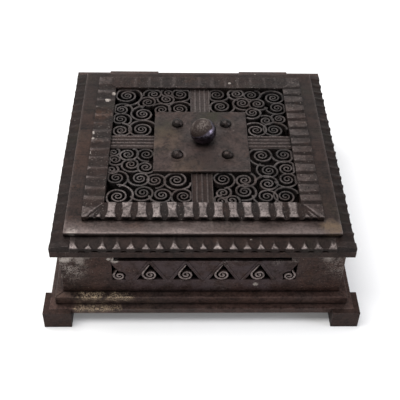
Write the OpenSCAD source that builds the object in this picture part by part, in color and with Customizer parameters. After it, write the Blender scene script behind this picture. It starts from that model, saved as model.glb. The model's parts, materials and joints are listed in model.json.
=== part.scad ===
// Foot warmer of hammered wrought iron: a low square box on block feet, with a
// pierced lid hinged to a rail along its back edge and a loose ember pan inside.
// Millimetres, +Z up. The origin is the middle of the footprint on the ground,
// and the front, with the vented frieze, faces -Y.

/* [Feet and base] */
// Side of each square foot block
foot_w = 28.5; // [24:0.5:34]
// Height from the ground to the top of the base frame
foot_h = 22; // [18:0.5:30]
// How far a foot stands out past the base frame on each outer side
foot_out = 6.2; // [4:0.1:8]
// Outside width of the square base frame
base_w = 315.2; // [300:0.1:330]
// Thickness of the base frame
base_t = 6.6; // [5:0.1:9]
// Width of the flat bar that the base frame is made of
base_bar_w = 36; // [32:0.5:44]
// Width of the ledge that the base frame leaves outside the plinth bars
ledge_w = 6.4; // [5:0.1:8]
// Thickness of the plinth bars around the foot of the walls
plinth_t = 8.2; // [6:0.1:9]
// Height of the plinth bars
plinth_h = 11; // [8:0.5:14]
// Radius of the rivet that holds each foot
foot_rivet_r = 4; // [3:0.25:5]
// Distance of the foot rivets in from the edges of the base frame
foot_rivet_in = 10.4; // [10:0.1:12]

/* [Box walls] */
// Thickness of the walls
wall_t = 3; // [2:0.1:4]
// Height of the walls above the base frame
wall_h = 70; // [64:0.5:84]
// Thickness of the floor plate
floor_t = 2; // [1.5:0.1:3]
// Leg width of the angles inside the corners
angle_w = 14; // [10:0.5:18]
// Thickness of the corner angles
angle_t = 2.5; // [2:0.1:3.5]

/* [Front frieze] */
// Width of the frieze panel let into the front wall
frieze_w = 187; // [181:0.5:193]
// Sideways offset of the frieze from the middle of the wall
frieze_shift = 2; // [0:0.5:4]
// Width of the open slot above the frieze
slot_w = 178; // [170:0.5:180]
// Height of the lower edge of the frieze above the base frame
frieze_low = 26; // [22:0.5:28]
// Height of the frieze panel
frieze_h = 31.5; // [30:0.5:33]
// Height of the vent triangles above the lower edge of the frieze
vent_low = 3.2; // [2.5:0.1:4]
// Height of each triangular vent
vent_h = 23.8; // [22:0.1:25]
// Half of the base of each triangular vent
vent_half = 13.8; // [12.5:0.1:15]
// Distance from one vent to the next
vent_pitch = 36.8; // [35:0.1:38]
// Distance from the rim of an end scroll to the end of the frieze
end_scroll_in = 0.8; // [0.6:0.1:1.5]
// Outer radius of the two end scrolls
end_scroll_r = 6.4; // [6:0.1:6.8]
// How far the frieze scrolls stand out from the wall
frieze_scroll_out = 0.8; // [0.3:0.1:1.5]
// Height of the raised zigzag line on the frieze
zigzag_out = 0.7; // [0.4:0.1:1.2]
// Width of the raised zigzag line
zigzag_w = 1.2; // [0.8:0.1:1.6]
// Distance of the zigzag line from the vents
zigzag_in = 2.4; // [2:0.1:3]
// Width of the straps that hold the frieze from behind
strap_w = 8; // [6:0.5:9]
// Thickness of the straps
strap_t = 2; // [1.5:0.1:3]

/* [Lid edge] */
// How far the lid stands out past the walls
lid_out = 7; // [5:0.1:9]
// Height of the lower flat rim bars
rim_t = 7.1; // [5:0.1:9]
// Width of the rim bars under the lid
rim_w = 16; // [14:0.5:18]
// Width of the hammered edge bars
bar_w = 20; // [18:0.5:22]
// Width of the sloping outer face of the hammered bars, up to the band
bevel_w = 13; // [11:0.1:14]
// Height of the hammered bars at their outer edge
bar_edge_h = 5.6; // [4.5:0.1:7]
// Height of the hammered bars under the band
bar_h = 8.3; // [7:0.1:10]
// Distance from one hammer flute of the edge bars to the next
bar_pitch = 14; // [12:0.5:17]
// Height that the rivets of the rim reach into the hammered bars
rim_rivet_rise = 4; // [3:0.1:4.3]
// Radius of the hidden lid rivets
lid_rivet_r = 2; // [1.5:0.1:2.4]

/* [Lid band and inner frame] */
// Width of the band that shows outside the inner frame
band_face = 17; // [14:0.5:20]
// Thickness of the flat band
band_t = 5.3; // [4:0.1:7]
// Height of the hammered inner frame
frame_h = 6; // [5:0.1:8]
// Width of the bars of the inner frame
frame_bar_w = 21; // [18:0.5:24]
// Distance from one hammer flute of the inner frame to the next
frame_pitch = 15.2; // [13:0.1:18]

/* [Lid centre] */
// Width of the square centre plate, as a share of the opening that the scrolls fill
plate_share = 0.52; // [0.49:0.01:0.54]
// Thickness of the centre plate
plate_t = 3.2; // [2.5:0.1:4.5]
// Width of the reeded cross bars, as a share of the same opening
cross_share = 0.111; // [0.09:0.001:0.125]
// Height of the reeded cross bars
cross_h = 6; // [5:0.1:7]
// Room between the ends of two cross bars, beside the stud
cross_clear = 1.5; // [1.5:0.1:4]
// Width of the square backing plate
backing_w = 76; // [70:0.5:84]
// Thickness of the backing plate
backing_t = 3; // [2:0.1:4]
// Distance of the domed rivets from the middle, along X and along Y
dome_in = 27; // [25:0.5:30]
// How far the domed rivets sit off centre, to the right and to the back
dome_shift = 1; // [0:0.5:2]
// Radius of the domed rivet heads
dome_r = 6.5; // [5:0.1:7]
// Height of the domed rivet heads
dome_h = 6.2; // [4:0.1:6.5]
// Radius of the domed rivets' shanks
shank_r = 2.5; // [2:0.1:3]

/* [Scrolls] */
// Height of the scroll bars of the lid
scroll_h = 6; // [4.5:0.1:7]
// Thickness of the scroll bars
scroll_t = 1.8; // [1.4:0.1:2]
// Radius of the innermost turn of a scroll, at the middle of its bar
eye_r = 2.1; // [1.8:0.1:2.4]
// Inward step of each half turn of a scroll
turn_step = 1.95; // [1.8:0.05:2.2]
// Overlap of two touching scrolls, where they are welded
weld = 0.5; // [0.3:0.1:0.8]
// Widest gap between two scrolls that a bead of weld closes
bead_reach = 3; // [2.6:0.1:3.2]

/* [Ball knob] */
// Radius of the ball
ball_r = 14.25; // [11:0.25:15]
// Depth of the flat on which the ball sits
ball_flat = 2.8; // [0.8:0.1:4]
// How far the ball sits to the right of the middle of the lid
knob_shift = 2; // [0:0.5:3]
// Radius of the stud through the plates
stud_r = 4; // [3:0.25:5]
// Depth of the stud in the ball
stud_in = 12; // [9:0.5:14]
// Side of the square nut
nut_w = 13; // [12:0.5:15]
// Thickness of the nut
nut_t = 5; // [4:0.5:6]
// Radius of the washer
washer_r = 9; // [8:0.5:12]
// Thickness of the washer
washer_t = 1.5; // [1:0.1:2]

/* [Hinge] */
// Thickness of the rail along the back
rail_t = 8.3; // [7.5:0.1:10]
// Depth of the rail below the top of the walls
rail_low = 14; // [11:0.5:18]
// Height of the rail above the top of the walls
rail_rise = 12.2; // [11:0.1:13]
// Radius of the hinge barrels
barrel_r = 3.5; // [3.2:0.1:3.8]
// Radius of the hinge pins
hinge_pin_r = 1.5; // [1.2:0.05:1.8]
// Length of each hinge
hinge_l = 60; // [50:1:70]
// Distance of each hinge from the middle
hinge_in = 80; // [72:1:88]
// Thickness of the hinge leaves
leaf_t = 1.8; // [1.4:0.1:2]
// Height of the hinge axis above the rail
axis_rise = 1.4; // [1.2:0.1:1.6]
// Radius of the rivets of the hinges
leaf_rivet_r = 1.2; // [1:0.1:1.4]
// Radius of the rivets that hold the rail
rail_rivet_r = 2.5; // [2:0.1:3]

/* [Ember pan] */
// Length of the pan between its handle ends
pan_l = 216; // [200:1:222]
// Width of the pan from front to back
pan_w = 236; // [220:1:250]
// Height of the pan
pan_h = 32; // [26:1:38]
// Thickness of the pan's sheet
pan_t = 1.5; // [1.2:0.1:2]
// Radius of the wire rolled into the pan's rim
pan_wire_r = 2; // [1.6:0.1:2.5]
// Height of the bearers under the pan
bearer_h = 10; // [8:0.5:13]
// Width of each bearer
bearer_w = 10; // [8:0.5:16]
// Distance of the bearers from the middle
bearer_in = 70; // [60:1:80]
// Radius of the handle wire
handle_r = 2.5; // [2:0.1:3]
// Distance between the legs of a handle
handle_w = 60; // [52:1:70]
// Length of a handle from its pivot to its grip
handle_l = 21; // [18:0.5:22]
// Thickness of each handle ear
ear_t = 3; // [2:0.1:4]

/* [Clearances] */
// Gap between pieces that move against each other
gap = 0.3; // [0.25:0.05:0.4]
// Radial play of a pin in its bore
play = 0.05; // [0.03:0.01:0.08]
// Gap between the back edge of the lid and the rail
rail_gap = 0.4; // [0.3:0.05:0.5]

/* [Hidden] */
$fn = 48;

// Colours
iron = [0.21, 0.19, 0.19];
dark_iron = [0.15, 0.135, 0.135];
worn_iron = [0.31, 0.28, 0.27];
sheet_iron = [0.17, 0.16, 0.16];

// A little more than nothing, for cuts that run past a face
past = 1;

// Half widths
base_half = base_w / 2;
foot_half = base_half + foot_out;
plinth_half = base_half - ledge_w;
wall_half = plinth_half - plinth_t;
inner_half = wall_half - wall_t;
lid_half = wall_half + lid_out;
band_half = lid_half - bevel_w;
frame_half = band_half - band_face;
opening_half = frame_half - frame_bar_w;

// Widths that follow from them
wall_w = 2 * wall_half;
lid_w = 2 * lid_half;
opening_w = 2 * opening_half;
plate_w = plate_share * opening_w;
plate_half = plate_w / 2;
cross_w = cross_share * opening_w;
cross_half = cross_w / 2;
cross_gap = cross_half + cross_clear;

// Heights
ledge_z = foot_h;
base_z = foot_h - base_t;
floor_z = ledge_z + floor_t;
wall_z = ledge_z + wall_h;
rim_z = wall_z + gap;
bar_z = rim_z + rim_t;
band_z = bar_z + bar_h;
frame_z = band_z + band_t;
lid_z = frame_z + frame_h;
plate_z = lid_z - plate_t;
cross_z = plate_z - cross_h;
backing_z = cross_z - backing_t;
grille_z = plate_z - scroll_h;
rail_top_z = wall_z + rail_rise;
pan_z = floor_z + bearer_h + gap;

// Radius of a rivet's flat head over that of its shank
head_ratio = 1.8;

// Back edge of the lid, just in front of the rail
lid_back = wall_half - rail_gap;
axis_y = wall_half - rail_gap / 2;
axis_z = rail_top_z + axis_rise;
barrel_bore_r = hinge_pin_r + play;
knuckles = 5;
knuckle_l = hinge_l / knuckles;
leaf_reach = 14;
pin_head_t = 1.2;
pin_head_r = 2.6;

// Hammer marks: radius of the hammer's face, depth of the mark, and where it
// starts, in from the bar's outer face
flute_r = 7.2;
flute_depth = 1.6;
flute_in = 5.2;
frame_flute_r = 6.4;
frame_flute_depth = 1.5;
frame_flute_in = 6.3;
// Hollows under the edge between the marks: radius, and how far their middle
// lies out from the bar's face and above its foot
bite_r = 6;
bite_out = 2.6;
bite_up = -3.4;
frame_bite_r = 4;
frame_bite_out = 1.6;
frame_bite_up = -0.8;
bevel_angle = atan2(bar_h - bar_edge_h, bevel_w);

// Middles of the lid's scrolls, one list for each quarter of the lid. They are
// drawn for an opening of this half width, and the scrolls follow the opening.
drawn_half = 99;
grille_scale = opening_half / drawn_half;
drawn_cross = cross_half / grille_scale;
drawn_plate = plate_half / grille_scale;
// Turn from a scroll's first contact to where its inner turns spring from
spring_turn = 32;
BACK_LEFT = [
    [-84, 84], [-56, 90], [-39, 93], [-22, 88], [-62, 73], [-40, 79], [-89, 60],
    [-45, 61], [-23, 63], [-67, 53], [-89, 41], [-88, 22], [-65, 25]
];
BACK_RIGHT = [
    [22, 88], [43, 90], [62, 90], [85, 85], [26, 65], [49, 71], [68, 70],
    [88, 63], [60, 53], [89, 44], [75, 41], [62, 24], [84, 24]
];
FRONT_LEFT = [
    [-94, -17], [-78, -20], [-60, -22], [-92, -31], [-75, -39], [-94, -46],
    [-59, -43], [-88, -60], [-66, -61], [-48, -64], [-25, -64], [-85, -85],
    [-62, -83], [-43, -86], [-21, -88]
];
FRONT_RIGHT = [
    [64, -24], [88, -22], [89, -42], [69, -46], [88, -62], [23, -62], [46, -61],
    [67, -66], [22, -81], [44, -81], [86, -85], [64, -88], [18, -93], [31, -93]
];

// Frieze
frieze_mid = frieze_shift;
frieze_z = ledge_z + frieze_low;
frieze_top_z = frieze_z + frieze_h;
vent_z = frieze_z + vent_low;
VENTS = [-1.5, -0.5, 0.5, 1.5] * vent_pitch;
vent_side = norm([vent_half, vent_h]);
vent_slope = atan2(vent_h, vent_half);
frieze_scroll_r = vent_half * vent_h / (vent_half + vent_side);
end_vent_x = frieze_w / 2;
end_scroll_x = end_vent_x - end_scroll_in - end_scroll_r;

// Pan: iron around the bores of its ears, and their distance from the handles' legs.
// The ears end just below the wire in the pan's rim.
ear_wall = 2;
ear_in = 6;
ear_r = handle_r + ear_wall;
handle_x = pan_l / 2 + ear_r;
handle_z = pan_z + pan_h - 2 * pan_wire_r - gap - ear_r;
ear_y = handle_w / 2 - ear_in;
bore_r = handle_r + play;

// ---- Shapes that repeat -------------------------------------------------

// A square ring of flat bar, lying between two heights
module square_ring(outer_half, inner_side_half, low_z, height) {
    translate([0, 0, low_z])
        linear_extrude(height) difference() {
            square(2 * outer_half, center = true);
            square(2 * inner_side_half, center = true);
        }
}

// The four sides of a square, named by their turn from the front
module on_side(turn) {
    rotate([0, 0, turn]) children();
}

// A straight bar along X with mitred ends, its outer face at -outer_half in Y
module mitred_bar(outer_half, width, low_z, height) {
    inner_side_half = outer_half - width;
    translate([0, 0, low_z])
        linear_extrude(height) polygon([
            [-outer_half, -outer_half], [outer_half, -outer_half],
            [inner_side_half, -inner_side_half], [-inner_side_half, -inner_side_half]
        ]);
}

// One hammer flute: a round trough that runs inward (+Y) from a rounded end.
// The surface it is struck into passes through the origin and rises by slope.
module flute(mark_r, depth, run, slope) {
    rotate([slope, 0, 0]) translate([0, 0, mark_r - depth]) {
        sphere(r = mark_r);
        rotate([-90, 0, 0]) cylinder(r = mark_r, h = run);
    }
}

// The hollow left under an edge between two flutes
module edge_bite(radius, out, up) {
    translate([0, -out, up]) sphere(r = radius);
}

// One bar of a scroll: half of a ring, on the side of +Y
module half_turn(mid_r, thickness, height) {
    rotate_extrude(angle = 180)
        translate([mid_r - thickness / 2, 0]) square([thickness, height]);
}

// A scroll of flat bar on edge: a round outer turn, and then half turns of
// falling radius inside it, which leave it at angle 0
module scroll(outer_r, thickness, height) {
    mid_r = outer_r - thickness / 2;
    lap = thickness / 4;
    halves = max(1, round((mid_r - lap - eye_r) / turn_step));
    step = (mid_r - lap - eye_r) / halves;
    difference() {
        cylinder(r = outer_r, h = height);
        translate([0, 0, -past]) cylinder(r = outer_r - thickness, h = height + 2 * past);
    }
    for (i = [1 : halves])
        translate([i % 2 == 1 ? step : 0, 0, 0])
            rotate([0, 0, i % 2 == 1 ? 0 : 180])
                half_turn(mid_r - lap - i * step, thickness, height);
}

// Gap between two scrolls of a list, and between a scroll and its surroundings
function apart(list, radii, i, j) = norm(list[i] - list[j]) - radii[i] - radii[j];
function room(p) = min(
    drawn_half - abs(p[0]), drawn_half - abs(p[1]),
    abs(p[0]) - drawn_cross, abs(p[1]) - drawn_cross,
    norm([max(abs(p[0]) - drawn_plate, 0), max(abs(p[1]) - drawn_plate, 0)])
);

// Scroll radii: each grows until it meets a neighbour or the edge of its field
function nearest(list, radii, i) = min([
    for (j = [0 : len(list) - 1]) if (j != i) apart(list, radii, i, j)
]);
function grow(list, radii, passes) = passes == 0 ? radii : grow(list, [
    for (i = [0 : len(list) - 1])
        radii[i] + min(nearest(list, radii, i) / 2, room(list[i]) - radii[i])
], passes - 1);
function scroll_radii(list) = grow(list, [for (p = list) 0], 12);

// Direction from a scroll to what it touches first
function touch_angle(list, radii, i) =
    let (gaps = [for (j = [0 : len(list) - 1]) j == i ? lid_w : apart(list, radii, i, j)])
    let (j = search(min(gaps), gaps)[0])
    let (to = list[j] - list[i])
    atan2(to[1], to[0]);

// Beads of weld between the scrolls that come close without touching
module weld_beads(list, radii) {
    for (i = [0 : len(list) - 2], j = [i + 1 : len(list) - 1]) {
        between = apart(list, radii, i, j);
        to = (list[j] - list[i]) / norm(list[j] - list[i]);
        at = list[i] + to * (radii[i] + between / 2);
        if (between > weld / 2 && between < bead_reach)
            translate([at[0], at[1], grille_z + weld])
                cylinder(r = between / 2 + weld, h = scroll_h - 2 * weld);
    }
}

// One quarter of the lid, filled with scrolls
module scroll_grille(list) {
    radii = scroll_radii(list);
    intersection() {
        scale([grille_scale, grille_scale, 1]) union() {
            for (i = [0 : len(list) - 1])
                translate([list[i][0], list[i][1], grille_z])
                    rotate([0, 0, touch_angle(list, radii, i) + spring_turn])
                        mirror([0, i % 2, 0])
                            scroll(radii[i] + weld / 2, scroll_t, scroll_h);
            weld_beads(list, radii);
        }
        grille_field(sign(list[0][0]), sign(list[0][1]));
    }
}

// The room between the cross bars and the inner frame in one quarter
module grille_field(side_x, side_y) {
    field = opening_half - cross_half;
    middle = cross_half + field / 2;
    translate([side_x * middle, side_y * middle, grille_z + scroll_h / 2])
        cube([field, field, scroll_h + past], center = true);
}

// ---- Base ---------------------------------------------------------------

// A foot block with a rebate that takes the corner of the base frame
module foot(side_x, side_y) {
    middle = foot_half - foot_w / 2;
    color(iron) difference() {
        translate([side_x * middle, side_y * middle, foot_h / 2])
            cube([foot_w, foot_w, foot_h], center = true);
        translate([0, 0, base_z + foot_h / 2])
            cube([base_w, base_w, foot_h], center = true);
        foot_rivet_hole(side_x, side_y);
    }
}

rivet_in = base_half - foot_rivet_in;

// Hole through a foot and the base frame, for the foot's rivet
module foot_rivet_hole(side_x, side_y) {
    translate([side_x * rivet_in, side_y * rivet_in, -past])
        cylinder(r = foot_rivet_r, h = foot_h + 2 * past);
}

module foot_rivets() {
    color(dark_iron)
        for (x = [-1, 1], y = [-1, 1])
            translate([x * rivet_in, y * rivet_in, gap])
                cylinder(r = foot_rivet_r, h = foot_h - gap);
}

module base_frame() {
    color(iron) difference() {
        square_ring(base_half, base_half - base_bar_w, base_z, base_t);
        for (x = [-1, 1], y = [-1, 1])
            foot_rivet_hole(x, y);
    }
}

module plinth_bar(turn) {
    color(iron) on_side(turn)
        mitred_bar(plinth_half, plinth_t, ledge_z, plinth_h);
}

module floor_plate() {
    color(sheet_iron)
        translate([0, 0, ledge_z + floor_t / 2])
            cube([2 * inner_half, 2 * inner_half, floor_t], center = true);
}

// ---- Walls --------------------------------------------------------------

module front_wall() {
    color(iron) difference() {
        translate([-wall_half, -wall_half, ledge_z]) cube([wall_w, wall_t, wall_h]);
        translate([frieze_mid - frieze_w / 2, -wall_half - past, frieze_z])
            cube([frieze_w, wall_t + 2 * past, frieze_h]);
        translate([-slot_w / 2, -wall_half - past, frieze_top_z - past])
            cube([slot_w, wall_t + 2 * past, wall_h]);
    }
}

module back_wall() {
    color(iron) difference() {
        translate([-wall_half, inner_half, ledge_z]) cube([wall_w, wall_t, wall_h]);
        rail_rivet_row(rail_rivet_r, inner_half - past, wall_t + 2 * past);
    }
}

module side_wall(side_x) {
    color(iron)
        translate([side_x * (wall_half - wall_t / 2), 0, ledge_z + wall_h / 2])
            cube([wall_t, 2 * inner_half, wall_h], center = true);
}

// Angles in the four corners, standing on the floor
module corner_angles() {
    color(dark_iron)
        for (turn = [0 : 90 : 270])
            rotate([0, 0, turn])
                translate([-inner_half, -inner_half, floor_z])
                    linear_extrude(wall_z - floor_z) polygon([
                        [0, 0], [angle_w, 0], [angle_w, angle_t],
                        [angle_t, angle_t], [angle_t, angle_w], [0, angle_w]
                    ]);
}

// ---- Frieze -------------------------------------------------------------

// Turns a flat drawing (x across, y up) into a plate standing in the front
// wall, from out in front of the wall's face to its back
module upright(out, thickness) {
    translate([frieze_mid, -wall_half - out + thickness, frieze_z])
        rotate([90, 0, 0]) linear_extrude(thickness) children();
}

// Outline of one triangular vent, seen from the front
module vent_outline(grow_by) {
    widen = grow_by * (vent_side + vent_half) / vent_h;
    translate([0, vent_low]) polygon([
        [-vent_half - widen, -grow_by], [vent_half + widen, -grow_by],
        [0, vent_h + grow_by * vent_side / vent_half]
    ]);
}

// Half a vent at each end of the frieze, rounded out for its scroll
module end_vent_outline(side) {
    translate([0, vent_low]) {
        polygon([
            [side * end_vent_x, 0], [side * end_vent_x, vent_h],
            [side * (end_vent_x - vent_half), 0]
        ]);
        translate([side * end_scroll_x, end_scroll_r]) circle(r = end_scroll_r);
    }
}

module frieze_vents() {
    for (x = VENTS) translate([x, 0]) vent_outline(0);
    for (side = [-1, 1]) end_vent_outline(side);
}

// The pierced panel, with a raised zigzag line between the vents
module frieze_panel() {
    color(iron) {
        upright(0, wall_t) difference() {
            translate([-frieze_w / 2, 0]) square([frieze_w, frieze_h]);
            frieze_vents();
        }
        upright(zigzag_out, zigzag_out) intersection() {
            translate([-frieze_w / 2, 0]) square([frieze_w, frieze_h]);
            for (x = VENTS) translate([x, 0]) difference() {
                vent_outline(zigzag_in + zigzag_w);
                vent_outline(zigzag_in);
                translate([-vent_pitch, -vent_h]) square([2 * vent_pitch, vent_h + vent_low]);
            }
        }
    }
}

// A frieze scroll seen from the front, its middle at the origin. Its outer end
// runs on as a straight tail, up along the side of the vent.
module frieze_scroll(outer_r, tail_l) {
    depth = wall_t + frieze_scroll_out;
    translate([0, depth - frieze_scroll_out, 0]) rotate([90, 0, 0]) {
        rotate([0, 0, vent_slope + 90]) scroll(outer_r, scroll_t, depth);
        rotate([0, 0, vent_slope])
            translate([0, outer_r - scroll_t, 0]) cube([tail_l, scroll_t, depth]);
    }
}

module frieze_scrolls() {
    tail_l = (vent_h - frieze_scroll_r) * sin(vent_slope) - scroll_t;
    end_tail_l = tail_l - vent_half / 2;
    color(worn_iron) {
        for (x = VENTS)
            translate([frieze_mid + x, -wall_half, vent_z + frieze_scroll_r])
                frieze_scroll(frieze_scroll_r, tail_l);
        for (side = [-1, 1])
            translate([frieze_mid + side * end_scroll_x, -wall_half, vent_z + end_scroll_r])
                mirror([side > 0 ? 1 : 0, 0, 0])
                    frieze_scroll(end_scroll_r, end_tail_l);
    }
}

// Straps inside that hold the frieze: upright ones between the vents, over the
// joint below it, and a level one over the joint at each upper corner
module frieze_straps() {
    upright_l = vent_h;
    color(dark_iron) {
        for (x = [-1, 0, 1] * vent_pitch)
            translate([frieze_mid + x - strap_w / 2, -inner_half, frieze_z - upright_l / 2])
                cube([strap_w, strap_t, upright_l]);
        for (side = [-1, 1])
            translate([
                frieze_mid + side * frieze_w / 2 - strap_w, -inner_half,
                vent_z + vent_h
            ])
                cube([2 * strap_w, strap_t, frieze_top_z - vent_z - vent_h]);
    }
}

// ---- Hinge --------------------------------------------------------------

rail_rivets_n = 5;

// Level rivets in a row through the rail and the back wall
module rail_rivet_row(radius, start_y, length) {
    spacing = 2 * inner_half / rail_rivets_n;
    for (i = [0 : rail_rivets_n - 1])
        translate([(i - (rail_rivets_n - 1) / 2) * spacing, start_y, wall_z - rail_low / 2])
            rotate([-90, 0, 0]) cylinder(r = radius, h = length);
}

// Room for the barrels of both hinges
module barrel_cut() {
    for (side = [-1, 1])
        translate([side * hinge_in, axis_y, axis_z])
            rotate([0, 90, 0])
                cylinder(r = barrel_r + gap, h = hinge_l + 2 * pin_head_t + 2 * gap, center = true);
}

// Flat rail riveted along the outside of the back wall, standing above it
module hinge_rail() {
    color(iron) difference() {
        translate([-lid_half, wall_half, wall_z - rail_low])
            cube([lid_w, rail_t, rail_low + rail_rise]);
        rail_rivet_row(rail_rivet_r, wall_half - past, rail_t + 2 * past);
        barrel_cut();
        rail_leaf_rivets(rail_top_z - leaf_rivet_l, leaf_rivet_l + past);
    }
}

module rail_rivets() {
    head_t = 1.6;
    color(dark_iron) {
        rail_rivet_row(rail_rivet_r, inner_half, wall_t + rail_t);
        rail_rivet_row(rail_rivet_r * head_ratio, inner_half - head_t, head_t);
        rail_rivet_row(rail_rivet_r * head_ratio, wall_half + rail_t, head_t);
    }
}

leaf_rivet_l = 5;
leaf_rivet_y = wall_half + rail_t - 2 * leaf_rivet_r;

// Rivets down through the leaves on the rail
module rail_leaf_rivets(low_z, length) {
    for (side = [-1, 1], i = [-1, 0, 1])
        translate([side * hinge_in + i * hinge_l / 3, leaf_rivet_y, low_z])
            cylinder(r = leaf_rivet_r, h = length);
}

// The knuckles that one leaf holds: every second one, from first on
module knuckle_row(first) {
    for (i = [first : 2 : knuckles - 1])
        translate([-hinge_l / 2 + i * knuckle_l + gap / 2, 0, 0])
            rotate([0, 90, 0]) cylinder(r = barrel_r, h = knuckle_l - gap);
}

// Room for the knuckles of the other leaf
module knuckle_gaps(first) {
    for (i = [first : 2 : knuckles - 1])
        translate([-hinge_l / 2 + i * knuckle_l - gap / 2, 0, 0])
            rotate([0, 90, 0]) cylinder(r = barrel_r + gap, h = knuckle_l + gap);
}

// A leaf with its knuckles, lying at leaf_low relative to the axis
module hinge_leaf(first, edge_y, leaf_low) {
    difference() {
        union() {
            knuckle_row(first);
            translate([-hinge_l / 2 + gap / 2, min(0, edge_y), leaf_low])
                cube([hinge_l - gap, abs(edge_y), leaf_t]);
        }
        knuckle_gaps(1 - first);
        rotate([0, 90, 0]) cylinder(r = barrel_bore_r, h = hinge_l + 2 * past, center = true);
    }
}

module rail_hinge_leaves() {
    color(dark_iron) {
        difference() {
            for (side = [-1, 1])
                translate([side * hinge_in, axis_y, axis_z])
                    hinge_leaf(0, wall_half + rail_t - axis_y, rail_top_z - axis_z);
            rail_leaf_rivets(rail_top_z - past, leaf_t + 2 * past);
        }
        rail_leaf_rivets(rail_top_z - leaf_rivet_l, leaf_rivet_l + leaf_t);
    }
}

module hinge_pins() {
    color(worn_iron)
        for (side = [-1, 1])
            translate([side * hinge_in, axis_y, axis_z]) rotate([0, 90, 0]) {
                cylinder(r = hinge_pin_r, h = hinge_l, center = true);
                for (end = [-1, 1])
                    translate([0, 0, end * (hinge_l + pin_head_t) / 2])
                        cylinder(r = pin_head_r, h = pin_head_t, center = true);
            }
}

// ---- Lid edge -----------------------------------------------------------

// Bars of the front and back edges reach from side bar to side bar
side_bar_in = lid_half - rim_w;
rim_in_y = lid_back - rim_w;

rim_rivet_in = lid_half - rim_w / 2;
rim_rivet_pitch = 0.3 * lid_w;
band_rivet_in = band_half - (bar_w - bevel_w) / 2;
band_rivet_pitch = 0.4 * lid_w;

// Upright rivets: a row of three on the front, left and right rim bars
module rim_rivet_holes(radius, low_z, length) {
    for (turn = [0, 90, 270], i = [-1, 0, 1])
        rotate([0, 0, turn])
            translate([i * rim_rivet_pitch, -rim_rivet_in, low_z])
                cylinder(r = radius, h = length);
}

// Upright rivets that hold the band down on the hammered bars
module band_rivet_holes(radius, low_z, length) {
    for (turn = [0, 90, 270], i = [-1, 1])
        rotate([0, 0, turn])
            translate([i * band_rivet_pitch / 2, -band_rivet_in, low_z])
                cylinder(r = radius, h = length);
}

// The rivets stop short of the band's top, where nothing shows
band_skin = 2;
band_rivet_rise = band_t - band_skin;

module lid_rivets() {
    color(dark_iron) {
        rim_rivet_holes(lid_rivet_r, rim_z, rim_t + rim_rivet_rise);
        band_rivet_holes(lid_rivet_r, bar_z, bar_h + band_rivet_rise);
    }
}

module rim_bar_front() {
    color(iron) difference() {
        translate([-side_bar_in, -lid_half, rim_z]) cube([2 * side_bar_in, rim_w, rim_t]);
        rim_rivet_holes(lid_rivet_r, rim_z - past, rim_t + 2 * past);
    }
}

module rim_bar_back() {
    color(iron)
        translate([-side_bar_in, rim_in_y, rim_z]) cube([2 * side_bar_in, rim_w, rim_t]);
}

module rim_bar_side(side_x) {
    color(iron) difference() {
        translate([side_x * (lid_half - rim_w / 2) - rim_w / 2, -lid_half, rim_z])
            cube([rim_w, lid_half + lid_back, rim_t]);
        rim_rivet_holes(lid_rivet_r, rim_z - past, rim_t + 2 * past);
    }
}

// Profile of a hammered bar: a sloping outer face and a flat under the band
module bar_profile() {
    polygon([
        [0, 0], [0, bar_edge_h], [bevel_w, bar_h], [bar_w, bar_h], [bar_w, 0]
    ]);
}

// A hammered edge bar along X, its outer face at Y 0 and its foot at Z 0
module hammered_bar(from_x, to_x) {
    length = to_x - from_x;
    marks = floor((length - bar_pitch / 2) / bar_pitch);
    first = (from_x + to_x) / 2 - (marks - 1) * bar_pitch / 2;
    mark_z = bar_edge_h + flute_in * tan(bevel_angle);
    difference() {
        translate([from_x, 0, 0]) rotate([90, 0, 90]) linear_extrude(length) bar_profile();
        for (i = [0 : marks - 1])
            translate([first + i * bar_pitch, flute_in, mark_z])
                flute(flute_r, flute_depth, bevel_w - flute_in, bevel_angle);
        for (i = [0 : marks])
            translate([first + (i - 0.5) * bar_pitch, 0, 0])
                edge_bite(bite_r, bite_out, bite_up);
    }
}

module hammered_bar_front() {
    color(iron) difference() {
        translate([0, -lid_half, bar_z]) hammered_bar(bar_w - lid_half, lid_half - bar_w);
        rim_rivet_holes(lid_rivet_r, bar_z - past, rim_rivet_rise + past);
        band_rivet_holes(lid_rivet_r, bar_z - past, bar_h + 2 * past);
    }
}

// The side bars run through from the front corner to the rail
module hammered_bar_side(side_x) {
    color(iron) difference() {
        mirror([side_x > 0 ? 1 : 0, 0, 0])
            translate([-lid_half, 0, bar_z]) rotate([0, 0, -90])
                hammered_bar(-lid_back, lid_half);
        rim_rivet_holes(lid_rivet_r, bar_z - past, rim_rivet_rise + past);
        band_rivet_holes(lid_rivet_r, bar_z - past, bar_h + 2 * past);
    }
}

// Plain bar along the back edge of the lid, let in for the hinge leaves
module lid_back_bar() {
    low_y = lid_half - bar_w;
    color(iron) difference() {
        translate([bar_w - lid_half, low_y, bar_z])
            cube([2 * (lid_half - bar_w), lid_back - low_y, bar_h]);
        barrel_cut();
        for (side = [-1, 1])
            translate([side * hinge_in - hinge_l / 2, axis_y - leaf_reach, band_z - leaf_t])
                cube([hinge_l, leaf_reach + past, leaf_t + past]);
    }
}

module lid_hinge_leaves() {
    color(dark_iron)
        for (side = [-1, 1])
            translate([side * hinge_in, axis_y, axis_z])
                hinge_leaf(1, -leaf_reach, band_z - leaf_t - axis_z);
}

// ---- Lid top ------------------------------------------------------------

module band_frame() {
    color(worn_iron) difference() {
        square_ring(band_half, opening_half, band_z, band_t);
        band_rivet_holes(lid_rivet_r, band_z - past, band_rivet_rise + past);
        barrel_cut();
    }
}

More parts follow.
